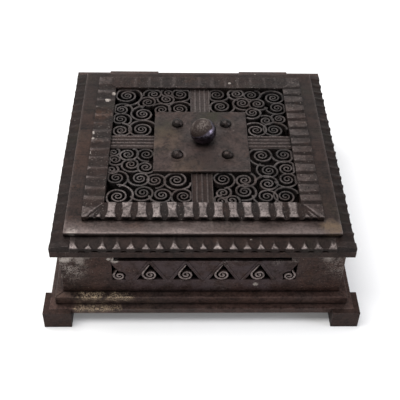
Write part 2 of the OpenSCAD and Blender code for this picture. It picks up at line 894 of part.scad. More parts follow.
// One mitred, hammered side of the raised inner frame
module inner_frame_bar(turn) {
    marks = 2 * floor(frame_half / frame_pitch);
    color(iron) on_side(turn) difference() {
        mitred_bar(frame_half, frame_bar_w, frame_z, frame_h);
        for (i = [0 : marks - 1])
            translate([(i - (marks - 1) / 2) * frame_pitch, frame_flute_in - frame_half, lid_z])
                flute(frame_flute_r, frame_flute_depth, frame_bar_w, 0);
        for (i = [0 : marks])
            translate([(i - marks / 2) * frame_pitch, -frame_half, frame_z])
                edge_bite(frame_bite_r, frame_bite_out, frame_bite_up);
    }
}

// A reeded bar from the middle of the lid to the edge of the opening
module cross_bar(turn) {
    reeds = 4;
    reed_r = cross_w / reeds / 2;
    length = opening_half - cross_gap;
    color(iron) on_side(turn)
        translate([0, -cross_gap, cross_z]) rotate([90, 0, 0]) linear_extrude(length) {
            translate([-cross_half, 0]) square([cross_w, cross_h - reed_r]);
            for (i = [0 : reeds - 1])
                translate([(2 * i + 1) * reed_r - cross_half, cross_h - reed_r])
                    circle(r = reed_r);
        }
}

// Shanks of the four domed rivets, and their holes
module dome_rivet_shanks(radius, low_z, length) {
    for (x = [-1, 1], y = [-1, 1])
        translate([x * dome_in + dome_shift, y * dome_in + dome_shift, low_z])
            cylinder(r = radius, h = length);
}

module centre_plate() {
    color(worn_iron) difference() {
        translate([0, 0, plate_z + plate_t / 2])
            cube([plate_w, plate_w, plate_t], center = true);
        dome_rivet_shanks(shank_r, plate_z - past, plate_t + 2 * past);
        translate([knob_shift, 0, plate_z - past])
            cylinder(r = stud_r + play, h = plate_t + 2 * past);
    }
}

module backing_plate() {
    color(dark_iron) difference() {
        translate([0, 0, backing_z + backing_t / 2])
            cube([backing_w, backing_w, backing_t], center = true);
        dome_rivet_shanks(shank_r, backing_z - past, backing_t + 2 * past);
        translate([knob_shift, 0, backing_z - past])
            cylinder(r = stud_r + play, h = backing_t + 2 * past);
    }
}

// Domed rivets through both plates, with flat heads below
module dome_rivets() {
    tail_t = 2;
    dome_sphere_r = (dome_r * dome_r + dome_h * dome_h) / (2 * dome_h);
    color(iron) {
        dome_rivet_shanks(shank_r, backing_z, lid_z - backing_z);
        dome_rivet_shanks(shank_r * head_ratio, backing_z - tail_t, tail_t);
        for (x = [-1, 1], y = [-1, 1])
            translate([x * dome_in + dome_shift, y * dome_in + dome_shift, lid_z]) intersection() {
                translate([0, 0, dome_h - dome_sphere_r]) sphere(r = dome_sphere_r);
                cylinder(r = dome_r + past, h = dome_h + past);
            }
    }
}

// ---- Knob ---------------------------------------------------------------

ball_z = lid_z + ball_r - ball_flat;

module ball_knob() {
    color(iron) translate([knob_shift, 0, 0]) difference() {
        translate([0, 0, ball_z]) sphere(r = ball_r);
        translate([-ball_r, -ball_r, lid_z - 2 * ball_r]) cube(2 * ball_r);
        translate([0, 0, lid_z - past]) cylinder(r = stud_r + play, h = stud_in + past);
    }
}

nut_z = backing_z - washer_t - nut_t;
nut_turn = 20;
stud_end = 1.5;

module knob_stud() {
    color(dark_iron)
        translate([knob_shift, 0, nut_z - stud_end])
            cylinder(r = stud_r, h = lid_z + stud_in - nut_z + stud_end);
}

module knob_nut() {
    color(dark_iron) translate([knob_shift, 0, 0]) difference() {
        translate([0, 0, nut_z + nut_t / 2]) rotate([0, 0, nut_turn])
            cube([nut_w, nut_w, nut_t], center = true);
        translate([0, 0, nut_z - past]) cylinder(r = stud_r + play, h = nut_t + 2 * past);
    }
}

module knob_washer() {
    color(dark_iron) translate([knob_shift, 0, 0]) difference() {
        translate([0, 0, backing_z - washer_t]) cylinder(r = washer_r, h = washer_t);
        translate([0, 0, backing_z - washer_t - past])
            cylinder(r = stud_r + play, h = washer_t + 2 * past);
    }
}

// ---- Ember pan ----------------------------------------------------------

module pan_bearers() {
    color(dark_iron)
        for (side = [-1, 1])
            translate([side * bearer_in - bearer_w / 2, -inner_half, floor_z])
                cube([bearer_w, 2 * inner_half, bearer_h]);
}

// A tray of folded sheet with a wire rolled into its rim
module ember_pan() {
    rim_z_mid = pan_z + pan_h - pan_wire_r;
    color(sheet_iron) {
        difference() {
            translate([-pan_l / 2, -pan_w / 2, pan_z]) cube([pan_l, pan_w, pan_h - pan_wire_r]);
            translate([pan_t - pan_l / 2, pan_t - pan_w / 2, pan_z + pan_t])
                cube([pan_l - 2 * pan_t, pan_w - 2 * pan_t, pan_h]);
        }
        for (side = [-1, 1]) {
            translate([side * (pan_l - pan_t) / 2, 0, rim_z_mid])
                rotate([90, 0, 0]) cylinder(r = pan_wire_r, h = pan_w - pan_t, center = true);
            translate([0, side * (pan_w - pan_t) / 2, rim_z_mid])
                rotate([0, 90, 0]) cylinder(r = pan_wire_r, h = pan_l - pan_t, center = true);
            for (end = [-1, 1])
                translate([side * (pan_l - pan_t) / 2, end * (pan_w - pan_t) / 2, rim_z_mid])
                    sphere(r = pan_wire_r);
        }
    }
}

// Ears on the pan's ends that carry the handles
module pan_ears() {
    reach = handle_x - pan_l / 2;
    color(dark_iron)
        for (side = [-1, 1], end = [-1, 1])
            translate([side * pan_l / 2, end * ear_y, handle_z]) difference() {
                rotate([90, 0, 0]) translate([0, 0, -ear_t / 2]) linear_extrude(ear_t) {
                    translate([side * reach, 0]) circle(r = ear_r);
                    translate([side > 0 ? 0 : -reach, -ear_r]) square([reach, 2 * ear_r]);
                }
                translate([side * reach, 0, 0]) rotate([90, 0, 0])
                    cylinder(r = bore_r, h = ear_t + 2 * past, center = true);
            }
}

// A wire handle that hangs against the pan's end, pivoted in two ears
module pan_handle(side) {
    grip_z = handle_z - handle_l;
    leg_y = handle_w / 2;
    end_l = leg_y - ear_y + ear_t;
    color(iron) translate([side * handle_x, 0, 0]) {
        translate([0, 0, grip_z]) rotate([90, 0, 0])
            cylinder(r = handle_r, h = handle_w, center = true);
        for (end = [-1, 1]) {
            translate([0, end * leg_y, grip_z]) cylinder(r = handle_r, h = handle_l);
            translate([0, end * leg_y, grip_z]) sphere(r = handle_r);
            translate([0, end * leg_y, handle_z]) sphere(r = handle_r);
            translate([0, end * leg_y, handle_z]) rotate([90 * end, 0, 0])
                cylinder(r = handle_r, h = end_l);
        }
    }
}

// ---- The part -----------------------------------------------------------

foot(-1, -1);  // foot_front_left
foot(1, -1);  // foot_front_right
foot(-1, 1);  // foot_back_left
foot(1, 1);  // foot_back_right
foot_rivets();
base_frame();
plinth_bar(0);  // plinth_bar_front
plinth_bar(180);  // plinth_bar_back
plinth_bar(270);  // plinth_bar_left
plinth_bar(90);  // plinth_bar_right
floor_plate();
front_wall();
back_wall();
side_wall(-1);  // left_wall
side_wall(1);  // right_wall
corner_angles();
frieze_panel();
frieze_scrolls();
frieze_straps();
hinge_rail();
rail_rivets();
rail_hinge_leaves();
hinge_pins();
pan_bearers();
rim_bar_front();
rim_bar_back();
rim_bar_side(-1);  // rim_bar_left
rim_bar_side(1);  // rim_bar_right
hammered_bar_front();
hammered_bar_side(-1);  // hammered_bar_left
hammered_bar_side(1);  // hammered_bar_right
lid_back_bar();
lid_rivets();
band_frame();
inner_frame_bar(0);  // inner_frame_front
inner_frame_bar(180);  // inner_frame_back
inner_frame_bar(270);  // inner_frame_left
inner_frame_bar(90);  // inner_frame_right
cross_bar(0);  // cross_bar_front
cross_bar(180);  // cross_bar_back
cross_bar(270);  // cross_bar_left
cross_bar(90);  // cross_bar_right
color(iron) scroll_grille(BACK_LEFT);  // scroll_grille_back_left
color(iron) scroll_grille(BACK_RIGHT);  // scroll_grille_back_right
color(iron) scroll_grille(FRONT_LEFT);  // scroll_grille_front_left
color(iron) scroll_grille(FRONT_RIGHT);  // scroll_grille_front_right
centre_plate();
backing_plate();
dome_rivets();
ball_knob();
knob_stud();
knob_nut();
knob_washer();
lid_hinge_leaves();
ember_pan();
pan_ears();
pan_handle(-1);  // pan_handle_left
pan_handle(1);  // pan_handle_right
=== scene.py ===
"""Looks of a foot warmer of hammered wrought iron: finishes, hammer marks and scrollwork.

Lengths are in millimetres in the shape functions and turn to metres as a piece is made.
The camera, the floor and the lamps are placed in metres.
"""

import itertools
import json
import math

import bmesh
import bpy
import numpy as np
from mathutils import Matrix, Vector


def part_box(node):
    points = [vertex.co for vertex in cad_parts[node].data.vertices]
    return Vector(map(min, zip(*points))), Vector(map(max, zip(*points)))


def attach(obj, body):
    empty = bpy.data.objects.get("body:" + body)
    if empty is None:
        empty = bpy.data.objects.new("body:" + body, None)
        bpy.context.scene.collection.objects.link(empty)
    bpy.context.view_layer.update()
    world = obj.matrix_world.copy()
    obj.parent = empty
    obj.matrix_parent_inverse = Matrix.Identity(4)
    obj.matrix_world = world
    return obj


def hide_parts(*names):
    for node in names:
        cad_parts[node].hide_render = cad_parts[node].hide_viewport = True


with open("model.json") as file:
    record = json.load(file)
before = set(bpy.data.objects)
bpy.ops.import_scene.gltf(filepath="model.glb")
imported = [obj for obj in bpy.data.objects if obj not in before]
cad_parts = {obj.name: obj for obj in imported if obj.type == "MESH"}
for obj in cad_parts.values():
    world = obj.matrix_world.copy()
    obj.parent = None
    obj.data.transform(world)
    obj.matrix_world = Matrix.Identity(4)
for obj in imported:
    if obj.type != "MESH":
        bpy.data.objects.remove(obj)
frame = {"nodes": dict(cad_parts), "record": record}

MM = 0.001
RECORD = frame["record"]
BODIES = {
    node: body for body, nodes in RECORD["behaviour"]["bodies"].items() for node in nodes
}


def box_mm(node):
    """Lowest and highest corner of a CAD node, in millimetres."""
    low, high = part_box(node)
    return np.array(low) / MM, np.array(high) / MM


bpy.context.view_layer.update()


# ---- Sizes in millimetres, as in the solids -------------------------------

LID_HALF = 150
EDGE_W = 20
EDGE_H = 5.6
BEVEL_W = 13
FRAME_HALF = 120
FRAME_W = 21
OPENING_HALF = 99
PLATE_HALF = 51.5
CROSS_HALF = 11
CROSS_START = 12.5
CROSS_CHAMFER = 0.3
FLUTE_PITCH = 5.5
FLUTE_DEPTH = 1.0
RIVET_R = 6.5
SHANK_R = 2.5
TAIL_R = 4.5
TAIL_H = 2
FRIEZE_X = 2
VENT_Z = 51.2
VENT_H = 23.8
VENT_HALF = 13.8
VENT_PITCH = 36.8
END_VENT_X = 86.3
END_SCROLL_R = 6.4
TURNS = {"front": 0, "right": 90, "back": 180, "left": 270}  # degrees, seen from above


# ---- Camera ---------------------------------------------------------------

IMAGE_PX = 400
FOCAL_PX = 774.1
SENSOR_MM = 36
CAMERA_AT = (-0.0223, -0.6624, 0.6538)
CAMERA_YAW = math.radians(1.97)
CAMERA_PITCH = math.radians(43.35)
CAMERA_ROLL = math.radians(1.46)


def make_camera():
    """A camera that looks down on the front of the box from a little left of its middle."""
    data = bpy.data.cameras.new("camera")
    data.sensor_width = SENSOR_MM
    data.lens = FOCAL_PX / IMAGE_PX * SENSOR_MM
    camera = bpy.data.objects.new("camera", data)
    bpy.context.scene.collection.objects.link(camera)
    bpy.context.scene.camera = camera
    ahead = Vector((
        math.sin(CAMERA_YAW) * math.cos(CAMERA_PITCH),
        math.cos(CAMERA_YAW) * math.cos(CAMERA_PITCH),
        -math.sin(CAMERA_PITCH),
    ))
    level = Vector((math.cos(CAMERA_YAW), -math.sin(CAMERA_YAW), 0))
    upward = level.cross(ahead)
    right = level * math.cos(CAMERA_ROLL) + upward * math.sin(CAMERA_ROLL)
    up = upward * math.cos(CAMERA_ROLL) - level * math.sin(CAMERA_ROLL)
    axes = Matrix((right, up, -ahead)).transposed()
    camera.matrix_world = Matrix.Translation(CAMERA_AT) @ axes.to_4x4()


# ---- Iron finishes --------------------------------------------------------

# Sockets of a Mix node that mixes colours
MIX_AMOUNT, MIX_FIRST, MIX_SECOND, MIX_COLOUR = 0, 6, 7, 2
# The share of a patch's reach in which it has its full strength
NEAR_CORE = 0.35


class Value:
    """A number that varies over a surface and takes part in Python arithmetic."""

    def __init__(self, shader, socket):
        self.shader = shader
        self.socket = socket

    def __add__(self, other):
        return self.shader.maths("ADD", self, other)

    def __sub__(self, other):
        return self.shader.maths("SUBTRACT", self, other)

    def __rsub__(self, other):
        return self.shader.maths("SUBTRACT", other, self)

    def __mul__(self, other):
        return self.shader.maths("MULTIPLY", self, other)

    __radd__ = __add__
    __rmul__ = __mul__


class Shader:
    """A material or a world whose nodes are written as expressions."""

    def __init__(self, owner):
        owner.use_nodes = True
        self.owner = owner
        self.tree = owner.node_tree
        self.tree.nodes.clear()

    def add(self, kind, settings=None, sockets=None, out=0):
        """Adds a node: its settings first, then its sockets' values or links."""
        node = self.tree.nodes.new("ShaderNode" + kind)
        for key, value in (settings or {}).items():
            setattr(node, key, value)
        for key, value in (sockets or {}).items():
            if isinstance(value, Value):
                self.tree.links.new(value.socket, node.inputs[key])
            else:
                node.inputs[key].default_value = value
        return Value(self, node.outputs[out])

    def maths(self, operation, first, second, clamp=False):
        settings = {"operation": operation, "use_clamp": clamp}
        return self.add("Math", settings, {0: first, 1: second})

    def highest(self, first, second):
        return self.maths("MAXIMUM", first, second, clamp=True)

    def noise(self, place, per_metre, detail, rough):
        return self.add("TexNoise", None, {
            "Vector": place, "Scale": per_metre, "Detail": detail, "Roughness": rough,
        })

    def step(self, value, low, high):
        """0 below low, 1 above high, and a smooth rise between them."""
        return self.add("MapRange", {"interpolation_type": "SMOOTHSTEP"}, {
            "Value": value, "From Min": low, "From Max": high,
        })

    def blend(self, amount, first, second, how="MIX"):
        """Two colours mixed by an amount."""
        first, second = (
            colour if isinstance(colour, Value) else (*colour, 1) for colour in (first, second)
        )
        settings = {"data_type": "RGBA", "blend_type": how}
        sockets = {MIX_AMOUNT: amount, MIX_FIRST: first, MIX_SECOND: second}
        return self.add("Mix", settings, sockets, out=MIX_COLOUR)

    def near(self, place, middle, reach):
        """1 around a point of the object and 0 from reach on, both in millimetres."""
        away = self.add("VectorMath", {"operation": "DISTANCE"}, {
            0: place, 1: tuple(MM * length for length in middle),
        }, out="Value")
        return 1 - self.step(away, NEAR_CORE * reach * MM, reach * MM)

    def close(self, surface, output="OutputMaterial"):
        """Ends the nodes in their output and returns the material or the world."""
        out = self.tree.nodes.new("ShaderNode" + output)
        self.tree.links.new(surface.socket, out.inputs["Surface"])
        return self.owner


def grey(level, warmth):
    """A grey that leans to a reddish brown."""
    return (level * (1 + warmth), level * (1 - 0.3 * warmth), level * (1 - 0.6 * warmth))


PALE = (0.36, 0.32, 0.29)
RUST = (0.060, 0.030, 0.019)
OLIVE = (0.018, 0.017, 0.010)
OCHRE = (0.115, 0.080, 0.052)
GOLD = (0.58, 0.45, 0.30)
DIM = (0.052, 0.040, 0.045)

# Streaks run along x. The reaches and the depth are in metres.
STREAK_STRETCH = (0.09, 1, 1)
BEVEL_REACH = 0.0011
SHADE_REACH = 0.006
RELIEF_DEPTH = 0.0012
DUST_PER_METRE = 190.0
DENTS_PER_METRE = 115.0


def make_iron(
    name, cool, warm, worn, rust=0.3, edge=0.6, pits=1.0, dents=0.4, streaks=0.0,
    roughness=0.52, metal=0.5, metal_worn=0.2, dull=-0.08, gloss=0.16, hollow_shade=0.85, grain=0.75,
    rubbed=(), stains=(), specks=(),
):
    """Old iron: mottled scale, rust, rubbed edges and lands, pale specks, pits and dents,
    painted shade and sheen.

    cool, warm and worn are colours. rubbed and stains hold (middle, reach, colour, strength)
    and specks hold (middle, reach), in millimetres.
    """
    s = Shader(bpy.data.materials.new(name))
    place = s.add("TexCoord", out="Object")
    clouds = s.noise(place, per_metre=17, detail=3, rough=0.55)
    green = s.noise(place, per_metre=26, detail=4, rough=0.6)
    blotches = s.noise(place, per_metre=85, detail=4, rough=0.62)
    mottle = s.noise(place, per_metre=400, detail=3, rough=0.65)
    grit = s.noise(place, per_metre=1500, detail=2, rough=0.6)
    hollow = s.add("AmbientOcclusion", {"samples": 6}, {"Distance": SHADE_REACH}, out="AO")

    # Scale: violet and brown clouds with olive ones between them, blotched and mottled
    colour = s.blend(s.step(clouds, 0.38, 0.6), cool, warm)
    colour = s.blend(s.step(green, 0.56, 0.7) * 0.5 * (1 - metal), colour, OLIVE)
    shade = 0.3 + 0.6 * s.step(blotches, 0.3, 0.7) + 0.8 * s.step(mottle, 0.3, 0.7)
    if streaks:
        stretch = {0: place, 1: STREAK_STRETCH}
        drawn = s.add("VectorMath", {"operation": "MULTIPLY"}, stretch, "Vector")
        shade = shade + streaks * (s.step(s.noise(drawn, 420, 3, 0.6), 0.35, 0.7) - 0.4)
    shade = s.add("CombineColor", None, {"Red": shade, "Green": shade, "Blue": shade})
    colour = s.blend(1.0, colour, shade, "MULTIPLY")
    rusty = s.step(s.noise(place, 38, 5, 0.65), 0.55, 0.7) * s.step(mottle, 0.35, 0.6)
    colour = s.blend(rusty * rust, colour, RUST)

    # Rubbed metal on edges and on the lands between hammer marks, where the wear attribute
    # also carries painted sheen on some bars
    rounded = s.add("Bevel", {"samples": 6}, {"Radius": BEVEL_REACH})
    flat = s.add("NewGeometry", out="Normal")
    alike = s.add("VectorMath", {"operation": "DOT_PRODUCT"}, {0: rounded, 1: flat}, "Value")
    edges = s.step(1 - alike, 0.02, 0.16) * s.step(hollow, 0.7, 0.92) * edge
    lands = s.add("Attribute", {"attribute_name": "wear"}, None, "Fac")
    broken = s.step(mottle + 0.5 * grit - 0.25, 0.34, 0.6)
    patchy = s.step(blotches, 0.32, 0.6)
    bare = s.highest(edges * patchy, lands) * (1 - grain + grain * broken)
    colour = s.blend(bare, colour, worn)

    # Rubbed patches, strongest on edges and lands, stains, single specks and a little dust; on
    # the wall some patches and one stain are painted highlights
    for middle, reach, tint, strength in rubbed:
        patch = s.near(place, middle, reach) * strength
        patch = patch * s.step(s.noise(place, 800, 3, 0.7), 0.47, 0.57)
        patch = patch * s.step(blotches, 0.36, 0.56)
        patch = s.maths("MINIMUM", patch * (0.25 + 2.2 * s.highest(edges, lands)), 1.0)
        colour = s.blend(patch, colour, tint)
    for middle, reach, tint, strength in stains:
        faded = s.step(blotches + 0.4 * mottle, 0.5, 0.85)
        colour = s.blend(s.near(place, middle, reach) * strength * faded, colour, tint)
    for middle, reach in specks:
        ragged = s.noise(place, 700, 2, 0.6) - 0.5
        spot = s.step(s.near(place, middle, reach) + 2.2 * ragged, 0.3, 1.0)
        colour = s.blend(spot * 0.75, colour, PALE)
    cells = s.add("TexVoronoi", None, {"Vector": place, "Scale": DUST_PER_METRE}, "Distance")
    chosen = s.step(s.noise(place, 70, 1, 0.5), 0.71, 0.75)
    dust = (1 - s.step(cells, 0.1, 0.24)) * chosen
    colour = s.blend(dust * 0.55, colour, PALE)

    # Painted shade in gouges and hollows: darker where ambient occlusion finds hollows and
    # where the deep attribute says
    deep = s.add("Attribute", {"attribute_name": "deep"}, None, "Fac")
    # Painted shade: colour darkened in hollows by this finish's amount and by the deep
    # attribute
    soot = (1 - hollow_shade + hollow_shade * s.step(hollow, 0.2, 0.85)) * (1 - 0.55 * deep)
    soot = s.add("CombineColor", None, {"Red": soot, "Green": soot, "Blue": soot})
    colour = s.blend(1.0, colour, soot, "MULTIPLY")

    # Pits and soft dents, and a sheen that changes with the scale and the wear
    smooth_dents = s.add("TexVoronoi", {"feature": "SMOOTH_F1"}, {
        "Vector": place, "Scale": DENTS_PER_METRE, "Smoothness": 0.6,
    }, "Distance")
    relief = pits * (0.5 * mottle + 0.25 * grit + 0.35 * blotches) + dents * smooth_dents
    normal = s.add("Bump", None, {"Strength": 0.6, "Distance": RELIEF_DEPTH, "Height": relief})
    sheen = roughness + 0.3 * (mottle - 0.5) + 0.12 * (clouds - 0.5) + dull * bare + 0.2 * deep
    surface = s.add("BsdfPrincipled", None, {
        "Base Color": colour,
        "Metallic": s.maths("MINIMUM", metal + metal_worn * bare, 1.0),
        "Roughness": sheen,
        "Specular IOR Level": gloss,
        "Normal": normal,
    })
    return s.close(surface)


LEDGE_GOLD = [((x, -150, 35), 11, GOLD, 2.4) for x in (-124, -113, -102, -91, -78)]
LEDGE_GOLD += [((x, -157, 23), 9, GOLD, 2.0) for x in (-126, -114, -102, -90)]
LEDGE_GOLD += [((-60, -157, 23), 20, OCHRE, 0.8), ((-142, -150, 34), 14, OCHRE, 0.9)]
# Rubbed patches on the wall. The five small ones along the frieze's upper edge, at z 79.5 to
# 82.5, are painted highlights.
WALL_RUBS_AND_HIGHLIGHTS = [
    ((-88, -144, 81), 7, PALE, 1.6), ((22, -144, 82.5), 12, PALE, 0.9),
    ((91, -144, 80), 7, PALE, 1.3), ((12, -143, 42), 18, PALE, 0.35),
    ((74, -144, 79.5), 9, PALE, 2.2), ((26, -144, 79.5), 12, PALE, 1.8),
    ((-143, -143, 72), 34, PALE, 2.4), ((143, -143, 74), 30, PALE, 1.2),
]

FINISHES = {
    "forged": make_iron(
        "forged_scale", grey(0.029, 0.33), grey(0.032, 0.47), grey(0.15, 0.2),
        rubbed=LEDGE_GOLD, edge=0.7,
    ),
    # A darker copy of the forged scale for the feet, the rim bar and the back bar: partly
    # painted shade on their upright faces
    "block": make_iron(
        "block_scale", grey(0.014, 0.46), grey(0.016, 0.56), grey(0.13, 0.2), edge=0.6,
    ),
    "edge": make_iron(
        "edge_scale", grey(0.009, 0.34), grey(0.010, 0.46), grey(0.19, 0.14),
        edge=0.35, gloss=0.12,
    ),
    "wall": make_iron(
        "wall_scale", grey(0.021, 0.46), grey(0.025, 0.56), grey(0.15, 0.2),
        rust=0.5, edge=0.8, dents=0.2, streaks=0.4, rubbed=WALL_RUBS_AND_HIGHLIGHTS,
        specks=(((55, -143, 44), 4), ((-88, -143, 80), 6), ((-94, -143, 82), 3)),
        stains=(
            ((-138, -143, 86), 11, PALE, 1.6), ((0, -143, 66), 60, DIM, 0.7),
            ((-62, -143, 62), 44, DIM, 0.6), ((62, -143, 62), 44, DIM, 0.7),
            ((-124, -143, 79), 8, PALE, 0.4),
            # The pale stain at (129, -143, 92), on the wall's upper right edge, is a painted
            # highlight; the pale ones at the left are wear
            ((-118, -143, 91), 12, PALE, 0.8), ((129, -143, 92), 17, PALE, 0.6),
        ),
    ),
    "frame": make_iron(
        "frame_scale", grey(0.015, 0.24), grey(0.016, 0.40), grey(0.19, 0.14),
        dents=0.3, pits=1.1, roughness=0.54,
        specks=(
            ((-101, 86, 119), 4), ((-107, 74, 119), 5), ((-119, 12, 119), 3),
            ((-119, 3, 119), 4), ((-120, -22, 119), 3), ((36, 108, 119), 3),
        ),
        stains=(((-111, 48, 119), 15, RUST, 0.7),),
    ),
    "band": make_iron(
        "band_scale", grey(0.013, 0.34), grey(0.014, 0.46), grey(0.18, 0.18),
        dents=0.2, roughness=0.46, streaks=0.45, edge=0.9, grain=0.4,
        stains=(
            ((127, -129, 113), 15, OCHRE, 0.85), ((-128, -134, 113), 7, PALE, 0.7),
            ((-126, 0, 113), 60, RUST, 0.3),
        ),
    ),
    "plate": make_iron(
        "plate_scale", grey(0.026, 0.18), grey(0.026, 0.32), grey(0.11, 0.16),
        rust=0.5, dents=0.6, pits=1.8, roughness=0.5, edge=0.3, hollow_shade=0.5,
        stains=(
            ((-14, -47, 119), 24, OCHRE, 0.3), ((-42, 20, 119), 26, OLIVE, 0.6),
            ((10, 44, 119), 20, OLIVE, 0.9), ((-42, 2, 119), 30, OCHRE, 0.25),
            ((4, -44, 119), 34, (0.022, 0.013, 0.011), 0.6),
        ),
    ),
    "scroll": make_iron(
        "scroll_scale", grey(0.020, 0.10), grey(0.023, 0.26), grey(0.12, 0.12),
        dents=0.0, pits=0.8, edge=0.15, roughness=0.48,
    ),
    "vent_scroll": make_iron(
        "vent_scroll_scale", grey(0.045, 0.25), grey(0.05, 0.35), grey(0.2, 0.16),
        dents=0.0, pits=0.8, edge=0.3, roughness=0.48, hollow_shade=0.5,
    ),
    "reed": make_iron(
        "reed_scale", grey(0.016, 0.28), grey(0.018, 0.38), grey(0.16, 0.14),
        dents=0.2, pits=0.8, edge=0.2, roughness=0.48,
    ),
    "rivet": make_iron(
        "rivet_scale", grey(0.010, 0.04), grey(0.013, 0.3), grey(0.2, 0.1),
        rust=0.2, dents=0.25, roughness=0.27, metal=0.78, metal_worn=0, edge=0.0, hollow_shade=0.6,
        gloss=0.3,
    ),
    # The ball is bare metal. Where it is worn, it is rough and dull instead.
    "knob": make_iron(
        "knob_polish", (0.080, 0.073, 0.108), (0.084, 0.072, 0.094), grey(0.016, 0.36),
        rust=0.0, dents=0.05, pits=0.15, roughness=0.2, metal=1.0, metal_worn=-1.0, edge=0.0,
        dull=0.42, gloss=0.1, hollow_shade=0.5, grain=0.0,
        rubbed=(((-2, 2, 142), 18, (0.12, 0.10, 0.09), 0.5),),
        stains=(((0, 9, 140), 7, PALE, 0.8),),
    ),
    "soot": make_iron(
        "sooty_sheet", grey(0.010, 0.2), grey(0.014, 0.35), grey(0.05, 0.15),
        rust=0.15, dents=0.1, roughness=0.75, metal=0.2, edge=0.2, gloss=0.2,
    ),
}


# ---- Noise and meshes -----------------------------------------------------

NOISE_TABLE = 4096
SCRAMBLE = (7919, 10007, 50021)


def noise(points, cell, seed):
    """Smooth noise from -1 to 1 over points, on a lattice of the given cell size."""
    table = np.random.default_rng(seed).uniform(-1, 1, NOISE_TABLE)
    scaled = np.asarray(points) / cell
    base = np.floor(scaled).astype(np.int64)
    part = scaled - base
    part = part * part * (3 - 2 * part)
    total = np.zeros(scaled.shape[:-1])
    for corner in itertools.product((0, 1), repeat=3):
        node = base + corner
        columns = [node[..., axis] * SCRAMBLE[axis] for axis in range(3)]
        index = columns[0] ^ columns[1] ^ columns[2]
        weight = np.prod(np.where(np.array(corner) == 1, part, 1 - part), axis=-1)
        total += weight * table[index & (NOISE_TABLE - 1)]
    return total


def rise(value, start, over):
    """0 up to start, then a straight rise to 1."""
    return np.clip((value - start) / over, 0, 1)


def ripple(points, amount, cell, seed):
    """Points moved by smooth noise, each way by up to amount."""
    shifts = [noise(points, cell, seed + axis) for axis in range(3)]
    return points + amount * np.stack(shifts, axis=-1)


def outline(corners, rounding, spacing):
    """A closed outline with rounded corners, as points that are spacing apart."""
    corners = [np.array(corner, float) for corner in corners]
    neighbours = zip(corners[-1:] + corners, corners, corners[1:] + corners[:1])
    keys = []
    for before, corner, after in neighbours:
        start = corner + rounding * (before - corner) / np.linalg.norm(before - corner)
        end = corner + rounding * (after - corner) / np.linalg.norm(after - corner)
        for u in (0, 0.33, 0.67, 1):
            keys.append((1 - u) ** 2 * start + 2 * u * (1 - u) * corner + u * u * end)
    points = []
    for here, there in zip(keys, keys[1:] + keys[:1]):
        pieces = max(1, math.ceil(np.linalg.norm(there - here) / spacing))
        points += [here + (there - here) * i / pieces for i in range(pieces)]
    return np.array(points)


def loft(rings):
    """Points and faces of a closed skin over rings of shape (ring, point, 3)."""
    count, around = rings.shape[:2]
    faces = []
    for ring in range(count - 1):
        for i in range(around):
            j = (i + 1) % around
            low, high = ring * around, (ring + 1) * around
            faces.append((low + i, low + j, high + j, high + i))
    faces.append(tuple(range(around)))
    faces.append(tuple(range((count - 1) * around, count * around)))
    return rings.reshape(-1, 3), faces


def join(parts):
    """Several lots of points and faces made one."""
    points, faces, start = [], [], 0
    for some_points, some_faces in parts:
        points.append(some_points)
        faces += [tuple(start + i for i in face) for face in some_faces]
        start += len(some_points)
    return np.concatenate(points), faces


def on_side(points, turn):
    """Points of a bar along the front, turned to another side of the square."""
    angle = math.radians(turn)
    x = points[..., 0] * math.cos(angle) - points[..., 1] * math.sin(angle)
    y = points[..., 0] * math.sin(angle) + points[..., 1] * math.cos(angle)
    return np.stack([x, y, points[..., 2]], axis=-1)


REPLACED = set()


def make_piece(name, shape, node, finish, wear=None, deep=None, sharp=35):
    """A piece in the place of a CAD node, from points in millimetres and faces.

    wear says from 0 to 1 how rubbed each point is (on some bars also painted sheen), and
    deep how much painted shade darkens it. Edges that turn by more than sharp degrees stay
    sharp.
    """
    points, faces = shape
    mesh = bpy.data.meshes.new(name)
    mesh.from_pydata((points * MM).tolist(), [], faces)
    for kind, amount in (("wear", wear), ("deep", deep)):
        if amount is not None:
            layer = mesh.attributes.new(kind, "FLOAT", "POINT")
            layer.data.foreach_set("value", np.clip(amount, 0, 1).astype(np.float32).ravel())
    shell = bmesh.new()
    shell.from_mesh(mesh)
    bmesh.ops.recalc_face_normals(shell, faces=shell.faces)
    shell.to_mesh(mesh)
    shell.free()
    mesh.shade_smooth()
    mesh.set_sharp_from_angle(angle=math.radians(sharp))
    mesh.materials.append(FINISHES[finish])
    piece = bpy.data.objects.new(name, mesh)
    bpy.context.scene.collection.objects.link(piece)
    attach(piece, BODIES[node])
    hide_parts(node)
    REPLACED.add(node)


# ---- Hammered bars --------------------------------------------------------

FRAME_MARK_PITCH = 15.2
EDGE_MARK_PITCH = 14
BAR_RING_GAP = 0.8
WAVER = 0.22
BITE_REACH = 3
# How far below a piece's top its upper side fades out
SKIN = 1.2


def struck(x, inward, marks, width, depth):
    """How deep a row of hammer marks goes, and how much of its own depth each point has."""
    cut = np.zeros_like(x)
    share = np.zeros_like(x)
    for middle, wide, deep, lean in marks:
        # A flat-bottomed hollow with steep sides
        across = (x - middle - lean * inward) / np.maximum(width * wide, 0.05)
        hollow = np.clip(1.25 * (1 - np.abs(across) ** 2.6), 0, 1)
        cut = np.maximum(cut, depth * deep * hollow)
        share = np.maximum(share, hollow)
    return cut, share


def mark_row(low, high, pitch, seed):
    """Place, width, depth and lean of each mark in a row, a little uneven."""
    rng = np.random.default_rng(seed)
    count = 2 * round((high - low) / pitch / 2)
    first = (low + high - (count - 1) * pitch) / 2
    return [
        (
            first + i * pitch + rng.uniform(-1.1, 1.1),
            1 + rng.uniform(-0.14, 0.1),
            1 + rng.uniform(-0.3, 0.25),
            rng.uniform(-0.08, 0.08),
        )
        for i in range(count)
    ]


